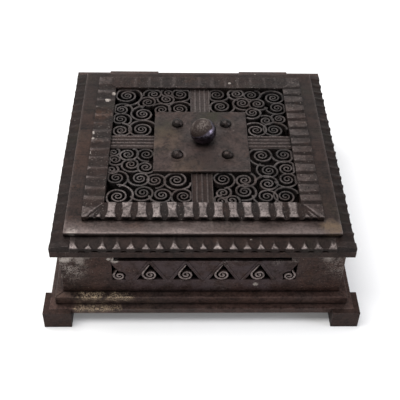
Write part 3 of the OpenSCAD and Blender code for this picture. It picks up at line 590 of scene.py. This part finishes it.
def bar_points(section, low_x, high_x, spacing, mitre):
    """Rings along a straight bar. A mitred bar's ends draw in as it goes inward."""
    count = math.ceil((high_x - low_x) / spacing) + 1
    along = np.linspace(low_x, high_x, count)[:, None]
    inward = np.broadcast_to(section[None, :, 0], (count, len(section)))
    high = np.broadcast_to(section[None, :, 1], (count, len(section)))
    x = np.broadcast_to(along, inward.shape)
    if mitre is not None:
        x = x * (mitre - inward) / mitre
    return x, inward, high


def hammered_bar(name, node, turn, span, marks, shape):
    """A bar with hammer marks struck into its upper side and bites under its edge.

    In shape, top, width, depth and rub_and_sheen are tables over the distance inward from
    the outer face, and rub_and_sheen_along is one over the distance from the bar's middle;
    together they lighten the lands as rubbed metal and as painted sheen. bite and wave say how
    far bites and marks draw the outer face in, land how much of a mark's side is still
    rubbed, and mark_shade and bite_shade how much painted shade darkens marks and bites.
    """
    x, inward, high = bar_points(shape["section"], *span, BAR_RING_GAP, shape["mitre"])
    top, width, depth, rub_and_sheen = (
        np.interp(inward, *shape[table]) for table in ("top", "width", "depth", "rub_and_sheen")
    )
    cut, share = struck(x, inward, marks, width, depth)
    new_high = high - cut * np.clip(high / top, 0, 1)
    bites = np.zeros_like(x)
    for (middle, *_), (after, *_) in zip(marks, marks[1:]):
        spot = ((x - (middle + after) / 2 - shape["bite_x"]) / shape["bite_w"]) ** 2
        spot = spot + ((high - shape["bite_z"]) / shape["bite_h"]) ** 2
        bites = np.maximum(bites, np.clip(1 - spot, 0, 1))
    near_edge = np.clip(1 - inward / BITE_REACH, 0, 1)
    new_inward = inward + (shape["bite"] * bites + shape["wave"] * share) * near_edge
    points = np.stack([x, new_inward - shape["outer"], shape["base"] + new_high], axis=-1)
    points = ripple(points, WAVER, 9, len(name))
    points[..., 2] = np.minimum(points[..., 2], shape["base"] + top.max())
    uppermost = rise(high - top, -SKIN, SKIN)
    land = np.clip(1 - share / shape["land"], 0, 1) * uppermost
    uneven = 0.75 + 0.45 * noise(points, 6, 15)
    # Lands lightened as rubbed metal and partly as painted sheen, most on the front bars
    rub_and_sheen = rub_and_sheen * np.interp(np.abs(x), *shape["rub_and_sheen_along"])
    wear = land * rub_and_sheen * np.clip(uneven, 0.2, 1.1)
    # Painted shade in the hammer marks and in the bites under the outer edge
    deep = shape["mark_shade"] * np.clip(share * 1.6 - 0.1, 0, 1) * uppermost
    deep = np.maximum(deep, shape["bite_shade"] * np.clip(2 * bites, 0, 1) * near_edge)
    make_piece(name, loft(on_side(points, turn)), node, shape["finish"], wear, deep)


def make_inner_frame():
    """The raised frame: deep gouges in front, broad shallow ones at the sides."""
    low, high = box_mm("inner_frame_front")
    height = high[2] - low[2]
    corners = [(0, 0), (FRAME_W, 0), (FRAME_W, height), (0, height)]
    shape = {
        "section": outline(corners, rounding=0.7, spacing=1.0),
        "finish": "frame", "outer": FRAME_HALF, "base": low[2], "mitre": FRAME_HALF,
        "top": ([0], [height]), "wave": 0.3, "land": 0.35, "rub_and_sheen_along": ([0], [1]),
        "bite_x": 0, "bite_w": 4.2, "bite_z": 1.2, "bite_h": 3.2, "bite_shade": 0.8,
    }
    # The front frame's lands carry painted sheen as well as wear; the back's carry far less
    front = dict(
        shape, bite=1.6, mark_shade=0.6, wave=0,
        width=([0, 2, 5, 9, 15, 21], [2.9, 3.2, 4.4, 4.6, 4.1, 3.3]),
        depth=([0, 1.5, 4, 8, 15, 21], [4.8, 3.6, 2.1, 1.5, 1.2, 0.7]),
        rub_and_sheen=([0], [1]), rub_and_sheen_along=([92, 102, 108], [0.95, 0.75, 0.5]),
    )
    left = dict(
        shape, bite=0.8, mark_shade=0.4, land=0.6,
        width=([0, 3, 21], [5.8, 7.0, 7.4]),
        depth=([0, 5, 18, 21], [1.3, 1.2, 1.0, 0.8]),
        rub_and_sheen=([0, 3, 6, 21], [0.5, 0.3, 0.15, 0.12]),
    )
    right = dict(
        shape, bite=0.8, mark_shade=0.75, land=0.5,
        width=([0, 3, 21], [3.4, 3.0, 2.6]),
        depth=([0, 5, 18, 21], [1.5, 1.3, 1.1, 0.8]),
        rub_and_sheen=([0, 10, 21], [0.1, 0.14, 0.3]),
    )
    back = dict(left, bite=0.3, mark_shade=0.2, depth=([0], [0.35]), rub_and_sheen=([0], [0.15]))
    for place, kind in (("front", front), ("back", back), ("left", left), ("right", right)):
        turn = TURNS[place]
        marks = mark_row(-FRAME_HALF, FRAME_HALF, FRAME_MARK_PITCH, 20 + turn)[1:-1]
        if place == "front":
            # Two small leaning marks run into each mitre
            left_end = [(-114, 0.45, 0.4, 0.8), (-107, 0.55, 0.45, 0.5)]
            right_end = [(-x, wide, deep, -lean) for x, wide, deep, lean in left_end[::-1]]
            marks = left_end + marks + right_end
        span = (-FRAME_HALF, FRAME_HALF)
        hammered_bar("frame_" + place, "inner_frame_" + place, turn, span, marks, kind)


def make_edge_bars():
    """The lid's bevelled edge bars, with scoops that leave ridges along the edge."""
    low, high = box_mm("hammered_bar_front")
    height = high[2] - low[2]
    corners = [(0, 0), (EDGE_W, 0), (EDGE_W, height), (BEVEL_W, height), (0, EDGE_H)]
    shape = {
        "section": outline(corners, rounding=0.6, spacing=1.0),
        "finish": "edge", "outer": LID_HALF, "base": low[2], "mitre": None,
        "top": ([0, BEVEL_W, EDGE_W], [EDGE_H, height, height]), "land": 0.5,
        "rub_and_sheen_along": ([0], [1]), "bite": 0.6,
        "bite_x": 7, "bite_w": 4.0, "bite_z": 0.4, "bite_h": 1.6, "bite_shade": 0.2,
    }
    # The front edge bar's lands near its outer edge carry painted highlights as well as wear
    front = dict(
        shape, mark_shade=0.15, wave=0.6,
        width=([0, 1, 3, 6, 13], [3.6, 4.1, 5.8, 7.2, 7.6]),
        depth=([0, 1, 4, 8, 13], [0.8, 1.1, 1.2, 0.6, 0.3]),
        rub_and_sheen=([0, 4, 6, 9], [1.1, 1.0, 0.4, 0.05]),
    )
    left = dict(
        shape, mark_shade=0.1, wave=0.25,
        width=([0], [6.4]),
        depth=([0, 3, 13, 20], [0.45, 0.4, 0.3, 0.2]),
        rub_and_sheen=([0, 3, 13], [0.12, 0.06, 0.04]),
    )
    right = dict(left, mark_shade=0.3, wave=0.8, depth=([0, 3, 13, 20], [0.9, 0.8, 0.5, 0.2]))
    back_y = box_mm("hammered_bar_left")[1][1]
    for place, kind, span in (
        ("front", front, (EDGE_W - LID_HALF, LID_HALF - EDGE_W)),
        ("left", left, (-back_y, LID_HALF)),
        ("right", right, (-LID_HALF, back_y)),
    ):
        turn = TURNS[place]
        marks = mark_row(*span, EDGE_MARK_PITCH, 50 + turn)
        hammered_bar("edge_" + place, "hammered_bar_" + place, turn, span, marks, kind)


# ---- Flat band, plate and cross bars --------------------------------------

BAND_RING_GAP = 3.0
BAND_EDGE = 1.6
FRONT_RUB_START = 117
FRONT_RUB_OVER = 18
PLATE_EDGE = 1.2
PLATE_EDGE_DROP = 0.5
PLATE_GAP = 1.25
CROSS_POINTS = 89
CROSS_RINGS = 44
ROOM_TO_WAVER = 0.25


def make_band():
    """The flat band: one ring of plate with a rounded edge, slightly out of true."""
    low, high = box_mm("band_frame")
    outer, width, height = high[0], high[0] - OPENING_HALF, high[2] - low[2]
    corners = [(0, 0), (width, 0), (width, height), (0, height)]
    section = outline(corners, rounding=0.9, spacing=2.5)
    rings = []
    for turn in TURNS.values():
        x, inward, up = bar_points(section, -outer, outer, BAND_RING_GAP, outer)
        points = np.stack([x, inward - outer, low[2] + up], axis=-1)
        rings.append(on_side(points[:-1], turn))
    points = np.concatenate(rings)
    count, around = points.shape[:2]
    wobble = noise(points, 24, 5) * 0.25 + noise(points, 9, 6) * 0.14
    edge = np.clip(1 - (outer - np.abs(points[..., :2]).max(axis=-1)) / BAND_EDGE, 0, 1)
    upper = rise(points[..., 2] - low[2] - height, -BAND_EDGE, 1.0)
    points[..., 2] -= np.abs(wobble) * upper
    points[..., :2] *= (1 - 0.0022 * edge * (1 + noise(points, 13, 8)))[..., None]
    faces = [
        (r * around + i, r * around + (i + 1) % around,
         (r + 1) % count * around + (i + 1) % around, (r + 1) % count * around + i)
        for r in range(count) for i in range(around)
    ]
    # The front is rubbed most, and more at the left than at the right
    front = rise(-points[..., 1], FRONT_RUB_START, FRONT_RUB_OVER) ** 0.7
    rubbed = front * np.clip(0.42 + 0.3 * noise(points * (0.3, 1, 1), 7, 9), 0.06, 1)
    rubbed = rubbed * np.interp(points[..., 0], [0, 60], [1, 0.75])
    wear = np.maximum((0.2 + 0.75 * np.clip(2 * front, 0, 1)) * edge, rubbed) * upper
    make_piece("band", (points.reshape(-1, 3), faces), "band_frame", "band", wear)


def slab(low, high, spacing, top_of):
    """Rings of a plate whose top sinks as top_of says, and how near its edge each point is."""
    width, depth = high[0] - low[0], high[1] - low[1]
    across = np.linspace(-1, 1, round(width / spacing) + 1)
    along = np.linspace(-1, 1, round(depth / spacing) + 1)
    rows = []
    for v in along:
        upper = np.stack([across, 0 * across + v, 0 * across + 1], axis=-1)
        lower = np.stack([across[::-1], 0 * across + v, 0 * across - 1], axis=-1)
        side = np.array([[1, v, 0.5], [1, v, 0], [1, v, -0.6]])
        other = side[::-1] * (-1, 1, 1)
        rows.append(np.concatenate([upper, side, lower, other]))
    rings = np.array(rows)
    past_edge = (np.abs(rings[..., :2]) - 1) * (width / 2)
    near_edge = np.clip(past_edge + PLATE_EDGE, 0, PLATE_EDGE).max(axis=-1)
    points = (low + high) / 2 + rings * ((high - low) / 2)
    upper = rings[..., 2] > 0.4
    points[..., 2] -= upper * PLATE_EDGE_DROP * near_edge ** 2
    points = ripple(points, 0.2, 12, 31)
    hammered = np.minimum(points[..., 2], high[2]) - top_of(points)
    points[..., 2] = np.where(upper, hammered, points[..., 2])
    return points, near_edge


def rivet_places():
    """Middles of the four domed rivets."""
    low, high = box_mm("dome_rivets")
    return list(itertools.product(
        (low[0] + RIVET_R, high[0] - RIVET_R), (low[1] + RIVET_R, high[1] - RIVET_R),
    ))


def rivet_rings(points, beyond, breadth):
    """For each domed rivet, 1 on a ring that lies beyond its head and 0 away from it."""
    rings = []
    for x, y in rivet_places():
        away = np.hypot(points[..., 0] - x, points[..., 1] - y)
        rings.append(np.exp(-((away - RIVET_R - beyond) / breadth) ** 2))
    return rings


def make_plate():
    """The centre plate, with soft hammer hollows and rings pressed by the rivets."""
    low, high = box_mm("centre_plate")

    def top_of(points):
        broad, small = noise(points, 11, 41), noise(points, 5, 42)
        dents = np.clip(broad, 0, 1) * 0.5 + np.clip(small, 0, 1) * 0.3
        for ring in rivet_rings(points, beyond=0.8, breadth=1.4):
            dents = dents + 0.4 * ring
        return dents

    points, near_edge = slab(low, high, PLATE_GAP, top_of)
    upper = rise(points[..., 2] - high[2], -SKIN, SKIN)
    rings = np.max(rivet_rings(points, beyond=1.8, breadth=0.9), axis=0)
    rings *= np.clip(0.6 + noise(points, 5, 44), 0, 1)
    wear = np.maximum(0.45 * np.clip(near_edge, 0, 1), 0.7 * rings) * upper
    make_piece("plate", loft(points), "centre_plate", "plate", wear)


def make_cross_bars():
    """Four bars with flutes and ridges along them, between the plate and the frame."""
    across = np.linspace(-CROSS_HALF, CROSS_HALF, CROSS_POINTS)
    from_flute = np.abs((across % FLUTE_PITCH) / (FLUTE_PITCH / 2) - 1)
    half, low_half = CROSS_HALF, CROSS_HALF - CROSS_CHAMFER
    underside = np.array([
        (half, CROSS_CHAMFER), (low_half, 0), (-low_half, 0), (-half, CROSS_CHAMFER),
    ])
    ridge = np.append(rise(from_flute, 0.66, 0.2), np.zeros(len(underside)))
    reach = np.linspace(CROSS_START, OPENING_HALF, CROSS_RINGS)
    for place, turn in TURNS.items():
        node = "cross_bar_" + place
        low, high = box_mm(node)
        top = high[2] - low[2] - FLUTE_DEPTH * (1 - from_flute ** 3) - ROOM_TO_WAVER
        section = np.concatenate([np.stack([across, top], axis=-1), underside])
        points = np.empty((len(reach), len(section), 3))
        points[..., 0] = section[None, :, 0]
        points[..., 1] = -reach[:, None]
        points[..., 2] = low[2] + section[None, :, 1]
        shiny = np.broadcast_to(ridge, points.shape[:-1])
        points = ripple(points, WAVER, 14, 61 + turn)
        points[..., 2] = np.minimum(points[..., 2], high[2])
        points[..., 2] -= np.abs(noise(points, 6, 64)) * 0.2 * shiny
        # The back bar's flutes are lightened too: painted sheen, besides the rubbed ridges
        wear = 0.2 + 0.7 * shiny if place == "back" else 0.45 * shiny
        # Flutes darkened with painted shade through the deep attribute; the ridges are rubbed
        make_piece(
            "reeded_" + place, loft(on_side(points, turn)), node, "reed",
            wear, 0.3 - 0.3 * shiny,
        )


# ---- Rivets and ball ------------------------------------------------------


def turned(profile, sides, middle):
    """A closed shape turned about an upright axis, from (radius, height) points."""
    angles = np.linspace(0, 2 * math.pi, sides, endpoint=False)
    rings = [
        np.stack([r * np.cos(angles), r * np.sin(angles), 0 * angles + z], axis=-1)
        for r, z in profile
    ]
    return np.array(rings) + np.array([*middle, 0])


def flattened(points, middle, radius, facets, seed, bite):
    """Points of a ball with the flats that a hammer leaves on it."""
    rng = np.random.default_rng(seed)
    facing = rng.normal(size=(facets, 3))
    facing /= np.linalg.norm(facing, axis=1)[:, None]
    reach = radius * (1 - rng.uniform(0, bite, facets))
    out = points - middle
    length = np.linalg.norm(out, axis=-1)
    along = out @ facing.T / np.maximum(length, 1e-6)[..., None]
    limit = np.where(along > 0.2, reach / np.maximum(along, 0.2), np.inf).min(axis=-1)
    scale = np.minimum(length, limit) / np.maximum(length, 1e-6)
    return middle + out * scale[..., None]


DOME_RINGS = 16
DOME_SIDES = 40
BALL_RINGS = 60
BALL_SIDES = 110


def make_dome_rivets():
    """Four domed rivets, forged flat in places, with their shanks and tails."""
    plate_top = box_mm("centre_plate")[1][2]
    low, high = box_mm("dome_rivets")
    radius, height = RIVET_R, high[2] - plate_top
    ball = (radius ** 2 + height ** 2) / (2 * height)
    parts = []
    for index, (x, y) in enumerate(rivet_places()):
        profile = []
        for angle in np.linspace(0.04, math.asin(min(1, radius / ball)), DOME_RINGS):
            profile.append((ball * math.sin(angle), high[2] - ball * (1 - math.cos(angle))))
        profile += [(radius - 0.3, plate_top - 0.5), (SHANK_R, plate_top - 0.6)]
        profile += [(SHANK_R, low[2] + TAIL_H), (TAIL_R, low[2] + TAIL_H), (TAIL_R, low[2])]
        points = turned(profile, DOME_SIDES, (x, y))
        middle = np.array([x, y, high[2] - ball])
        shaped = flattened(points, middle, ball, facets=30, seed=70 + index, bite=0.05)
        points[:DOME_RINGS] = ripple(shaped[:DOME_RINGS], 0.2, 4, 75 + index)
        points[..., 2] = np.minimum(points[..., 2], high[2])
        parts.append(loft(points))
    make_piece("domed_rivets", join(parts), "dome_rivets", "rivet", sharp=50)


# Directions from the ball's middle to its rough cap, its pale rim and its side with painted
# shade
CAP_TOWARD = np.array([-0.45, -0.2, 0.87])
RIM_TOWARD = np.array([-0.2, 0.66, 0.72])
PAINTED_SHADE_TOWARD = np.array([0.6, 0.75, 0.2])


def make_ball():
    """The ball knob, round but for hammer flats and a rough, dull cap on its upper left."""
    low, high = box_mm("ball_knob")
    radius = (high[0] - low[0]) / 2
    middle = np.array([(low[0] + high[0]) / 2, 0, high[2] - radius])
    start = math.acos(min(1, (middle[2] - low[2]) / radius))
    profile = [
        (radius * math.sin(angle), middle[2] - radius * math.cos(angle))
        for angle in np.linspace(start, math.pi - 0.03, BALL_RINGS)
    ]
    points = turned(profile, BALL_SIDES, middle[:2])
    points = flattened(points, middle, radius, facets=140, seed=81, bite=0.01)
    out = (points - middle) / radius
    rough = rise(out @ CAP_TOWARD - 0.36 + 0.25 * noise(points, 5, 82), 0, 0.15)
    points -= out * (rough * np.abs(noise(points, 3.2, 83)) * 0.4)[..., None]
    points[..., 2] = np.clip(points[..., 2], low[2], high[2])
    rim = rise(out @ RIM_TOWARD, 0.86, 0.08)
    patches = np.maximum(rough, rim)
    # Painted shade on the ball's right and back, where it would mirror the bright sky
    painted_dark_side = rise(out @ PAINTED_SHADE_TOWARD, 0.3, 0.3) * (1 - patches)
    make_piece("ball", loft(points), "ball_knob", "knob", patches, painted_dark_side, sharp=70)


# ---- Scrollwork -----------------------------------------------------------

# Middles of the scrolls in each field
SCROLLS = {
    "back_left": [
        (-84, 84), (-56, 90), (-39, 93), (-22, 88), (-62, 73), (-40, 79), (-89, 60),
        (-45, 61), (-23, 63), (-67, 53), (-89, 41), (-88, 22), (-65, 25),
    ],
    "back_right": [
        (22, 88), (43, 90), (62, 90), (85, 85), (26, 65), (49, 71), (68, 70), (88, 63),
        (60, 53), (89, 44), (75, 41), (62, 24), (84, 24),
    ],
    "front_left": [
        (-94, -17), (-78, -20), (-60, -22), (-92, -31), (-75, -39), (-94, -46),
        (-59, -43), (-88, -60), (-66, -61), (-48, -64), (-25, -64), (-85, -85),
        (-62, -83), (-43, -86), (-21, -88),
    ],
    "front_right": [
        (64, -24), (88, -22), (89, -42), (69, -46), (88, -62), (23, -62), (46, -61),
        (67, -66), (22, -81), (44, -81), (86, -85), (64, -88), (18, -93), (31, -93),
    ],
}


def room(x, y):
    """Distance from a scroll's middle to the bars and the plate around it."""
    x, y = abs(x), abs(y)
    plate = math.hypot(max(x - PLATE_HALF, 0), max(y - PLATE_HALF, 0))
    return min(OPENING_HALF - x, OPENING_HALF - y, x - CROSS_HALF, y - CROSS_HALF, plate)


GROWTH_ROUNDS = 12
RIBBON_ROOM = 1.1
RIBBON_W = 2.5
RIBBON_TAPER = 0.8


def grown(middles):
    """Radii of scrolls that grow until each meets a neighbour or an edge."""
    radii = [0.0] * len(middles)
    for _ in range(GROWTH_ROUNDS):
        gaps = [
            min(
                math.dist(here, there) - radii[i] - radii[j]
                for j, there in enumerate(middles) if j != i
            )
            for i, here in enumerate(middles)
        ]
        radii = [
            radius + min(gap / 2, room(*here) - radius)
            for radius, gap, here in zip(radii, gaps, middles)
        ]
    return radii


def ribbon(path, widths, low, high):
    """A bar on edge along a path, its upper side a little rounded."""
    ahead = np.gradient(path, axis=0)
    ahead /= np.linalg.norm(ahead, axis=1)[:, None]
    aside = np.stack([-ahead[:, 1], ahead[:, 0]], axis=-1)
    section = [
        (-1, 0), (1, 0), (1, 0.55), (1, 0.86), (0.78, 0.96), (0.35, 1), (-0.35, 1),
        (-0.78, 0.96), (-1, 0.86), (-1, 0.55),
    ]
    rings = np.empty((len(path), len(section), 3))
    for index, (across, up) in enumerate(section):
        rings[:, index, :2] = path + aside * (across * widths / 2)[:, None]
        rings[:, index, 2] = low + (high - low) * up
    return rings


STEP_GROWTH = 1.6
POINTS_A_TURN = 36
LEAST_POINTS = 30


def spiral(size, tip, hand, eye=1.2, step=3.0, lead=0.0):
    """A spiral from its tip in to its eye, and how far in each point is, from 0 to 1.

    Each turn's step is a fixed share wider than the last one's, from the eye outwards.
    """
    turns = math.log(1 + (size - eye) * (STEP_GROWTH - 1) / step) / math.log(STEP_GROWTH)
    turn = np.linspace(turns + lead, 0, max(LEAST_POINTS, int(POINTS_A_TURN * turns)))
    reach = eye + step * (STEP_GROWTH ** turn - 1) / (STEP_GROWTH - 1)
    angle = tip + hand * (turns - turn) * 2 * math.pi
    path = np.stack([reach * np.cos(angle), reach * np.sin(angle)], axis=-1)
    return path, 1 - turn / turn[0]


def freest(middle, radius, others):
    """The direction in which a scroll has most room for its tip."""
    best, chosen = -1e3, 0
    for angle in np.linspace(0, 2 * math.pi, 36, endpoint=False):
        x = middle[0] + 1.35 * radius * math.cos(angle)
        y = middle[1] + 1.35 * radius * math.sin(angle)
        gaps = [math.dist((x, y), there) - reach for there, reach in others]
        clear = min(gaps + [room(x, y)])
        if clear > best:
            best, chosen = clear, angle
    return chosen


def make_grilles():
    """The four fields of scrolls, each one welded piece."""
    near, far = CROSS_HALF + RIBBON_ROOM, OPENING_HALF - RIBBON_ROOM
    for place, middles in SCROLLS.items():
        node = "scroll_grille_" + place
        low, high = box_mm(node)
        radii = grown(middles)
        rng = np.random.default_rng(len(place) + 90)
        parts, wears = [], []
        for i, (middle, radius) in enumerate(zip(middles, radii)):
            others = [pair for j, pair in enumerate(zip(middles, radii)) if j != i]
            tip = freest(middle, radius, others)
            size = 1.18 * (radius + 0.9)
            path, inward = spiral(size, tip, 1 if rng.random() < 0.6 else -1, lead=0.1)
            path = path + middle - 0.15 * size * np.array([math.cos(tip), math.sin(tip)])
            for axis, corner in enumerate(middle):
                side = math.copysign(1, corner)
                path[:, axis] = side * np.clip(side * path[:, axis], near, far)
            widths = (RIBBON_W - RIBBON_TAPER * inward) * rng.uniform(0.9, 1.1)
            points = ripple(ribbon(path, widths, low[2], high[2]), 0.15, 5, 91 + i)
            points[..., 2] = np.clip(points[..., 2], low[2], high[2] - rng.uniform(0, 0.5))
            parts.append(loft(points))
            upper = rise(points[..., 2] - high[2], -SKIN, 0.8)
            uneven = np.clip(0.5 + 0.7 * noise(points, 7, 97), 0.1, 1)
            wears.append((upper * uneven * rng.uniform(0.25, 0.75)).reshape(-1))
        make_piece("scrolls_" + place, join(parts), node, "scroll", np.concatenate(wears))


def make_frieze_scrolls():
    """Small scrolls in the vents, each with a tail that runs up to the vent's point."""
    low, high = box_mm("frieze_scrolls")
    slope = math.atan2(VENT_H, VENT_HALF)
    radius = VENT_HALF * VENT_H / (VENT_HALF + math.hypot(VENT_HALF, VENT_H))
    # Each scroll's place along the front, radius, hand and length of tail
    scrolls = [(n * VENT_PITCH + FRIEZE_X, radius, 1, 13.0) for n in (-1.5, -0.5, 0.5, 1.5)]
    scrolls += [(FRIEZE_X - END_VENT_X, END_SCROLL_R, 1, 6.0)]
    scrolls += [(FRIEZE_X + END_VENT_X, END_SCROLL_R, -1, 6.0)]
    along = np.array([math.cos(slope), math.sin(slope)])
    parts, wears = [], []
    for x, size, hand, tail in scrolls:
        path, _ = spiral(1.1 * size - 0.9, slope + math.pi / 2, 1, eye=1.0, step=2.9)
        lead = [path[0] + along * step for step in np.linspace(tail, 0.4, 12)]
        path = np.concatenate([lead, path])
        path[:, 0] *= hand
        widths = np.interp(np.arange(len(path)), [0, 12, len(path)], [1.0, 2.3, 1.8])
        rings = ribbon(path, widths, 0, 1)
        upright = np.stack([
            rings[..., 0] + x,
            high[1] + (low[1] - high[1]) * rings[..., 2],
            rings[..., 1] + VENT_Z + size,
        ], axis=-1)
        upright = ripple(upright, 0.1, 5, 95)
        upright[..., 1] = np.clip(upright[..., 1], low[1], high[1])
        parts.append(loft(upright))
        wears.append((0.9 * np.clip(rings[..., 2] * 4 - 3, 0, 1)).reshape(-1))
    wear = np.concatenate(wears)
    make_piece("vent_scrolls", join(parts), "frieze_scrolls", "vent_scroll", wear)


# ---- Plain pieces ---------------------------------------------------------

SOOTY = {
    "floor_plate", "corner_angles", "frieze_straps", "pan_bearers", "ember_pan", "pan_ears",
    "pan_handle_left", "pan_handle_right", "foot_rivets",
}
FINE = {
    "rail_hinge_leaves", "lid_hinge_leaves", "hinge_pins", "rail_rivets", "lid_rivets",
    "knob_nut", "knob_washer", "knob_stud", "backing_plate",
}
ROUNDING = {"base_frame": 1.4, "front_wall": 0.6, "frieze_panel": 0.25}
USUAL_ROUNDING = 0.8
FOOT_ROUNDING = 2.6
FINE_ROUNDING = 0.3
SHEET_ROUNDING = 0.2
SAME_POINT = 0.00001
FLAT_ANGLE = math.radians(1)
EDGE_ANGLE = math.radians(40)


def finish_plain(node, piece):
    """A finish and eased edges for a piece whose CAD shape is right as it is."""
    finish, rounding = "forged", ROUNDING.get(node, USUAL_ROUNDING)
    # Feet, rim bar and back bar take the darker finish with painted shade
    if node.startswith(("foot_", "rim_bar", "lid_back_bar")):
        finish = "block"
    if node in SOOTY:
        finish, rounding = "soot", SHEET_ROUNDING
    elif node in FINE:
        rounding = FINE_ROUNDING
    elif node.startswith("foot_"):
        rounding = FOOT_ROUNDING
    elif "wall" in node or "frieze" in node:
        finish = "wall"
    for slot in piece.material_slots:
        slot.material = FINISHES[finish]
    weld = piece.modifiers.new("weld", "WELD")
    weld.merge_threshold = SAME_POINT
    clean = piece.modifiers.new("clean", "DECIMATE")
    clean.decimate_type = "DISSOLVE"
    clean.angle_limit = FLAT_ANGLE
    ease = piece.modifiers.new("ease", "BEVEL")
    ease.width = rounding * MM
    ease.segments = 3
    ease.limit_method = "ANGLE"
    ease.angle_limit = EDGE_ANGLE


# ---- Studio ---------------------------------------------------------------

FLOOR_R = 4
FLOOR_SIDES = 48
FLOOR_WHITE = (0.84, 0.84, 0.84, 1)
GLOW_NEAR = 0.1
GLOW_FAR = 0.75
GLOW_REACH = 2600  # millimetres
SKY_LIGHT = 0.28
WHITE = (1, 1, 1, 1)
LAMPS_AIM = Vector((0, 0, 0.1))
# Name, place, size, power and colour of each lamp
LAMPS = (
    ("overhead", (-0.45, 0.05, 1.5), 1.5, 38, (1, 0.99, 0.98)),
    ("side", (1.15, -0.3, 0.56), 0.7, 7, (0.86, 0.9, 1)),
)


def background_rays(s):
    """1 for the rays that show the background: the camera's, and those of gloss and glass."""
    rays = s.add("LightPath", out="Is Camera Ray")
    for kind in ("Is Glossy Ray", "Is Transmission Ray"):
        rays = s.highest(rays, s.add("LightPath", out=kind))
    return rays


def make_floor():
    """A round white floor that keeps the object's shadow and grows brighter far away."""
    angles = np.linspace(0, 2 * math.pi, FLOOR_SIDES, False)
    rim = [(FLOOR_R * math.cos(angle), FLOOR_R * math.sin(angle), 0) for angle in angles]
    mesh = bpy.data.meshes.new("floor")
    mesh.from_pydata(rim, [], [tuple(range(FLOOR_SIDES))])
    s = Shader(bpy.data.materials.new("white_floor"))
    far = 1 - s.near(s.add("TexCoord", out="Object"), (0, 0, 0), GLOW_REACH)
    strength = background_rays(s) * (GLOW_NEAR + GLOW_FAR * far)
    paint = s.add("BsdfDiffuse", None, {"Color": FLOOR_WHITE})
    glow = s.add("Emission", None, {"Color": WHITE, "Strength": strength})
    mesh.materials.append(s.close(s.add("AddShader", None, {0: paint, 1: glow})))
    ground = bpy.data.objects.new("floor", mesh)
    bpy.context.scene.collection.objects.link(ground)


def make_sky():
    """An even sky that is white as a background and dim as a light."""
    s = Shader(bpy.data.worlds.new("world"))
    sockets = {"Value": background_rays(s), "To Min": SKY_LIGHT, "To Max": 1.0}
    level = s.add("MapRange", None, sockets)
    sky = s.add("Background", None, {"Color": WHITE, "Strength": level})
    bpy.context.scene.world = s.close(sky, "OutputWorld")


def make_lamps():
    """Soft lamps: a large one above, to the left, and a small one at the right."""
    for name, at, size, power, colour in LAMPS:
        data = bpy.data.lights.new(name, "AREA")
        data.size = size
        data.energy = power
        data.color = colour
        lamp = bpy.data.objects.new(name, data)
        lamp.location = at
        lamp.rotation_euler = (LAMPS_AIM - Vector(at)).to_track_quat("-Z", "Y").to_euler()
        bpy.context.scene.collection.objects.link(lamp)


# ---- Putting it together --------------------------------------------------

make_camera()
make_floor()
make_sky()
make_lamps()
make_inner_frame()
make_edge_bars()
make_band()
make_plate()
make_cross_bars()
make_dome_rivets()
make_ball()
make_grilles()
make_frieze_scrolls()
for node, piece in frame["nodes"].items():
    if node not in REPLACED:
        finish_plain(node, piece)

bpy.context.scene.view_settings.view_transform = "Standard"
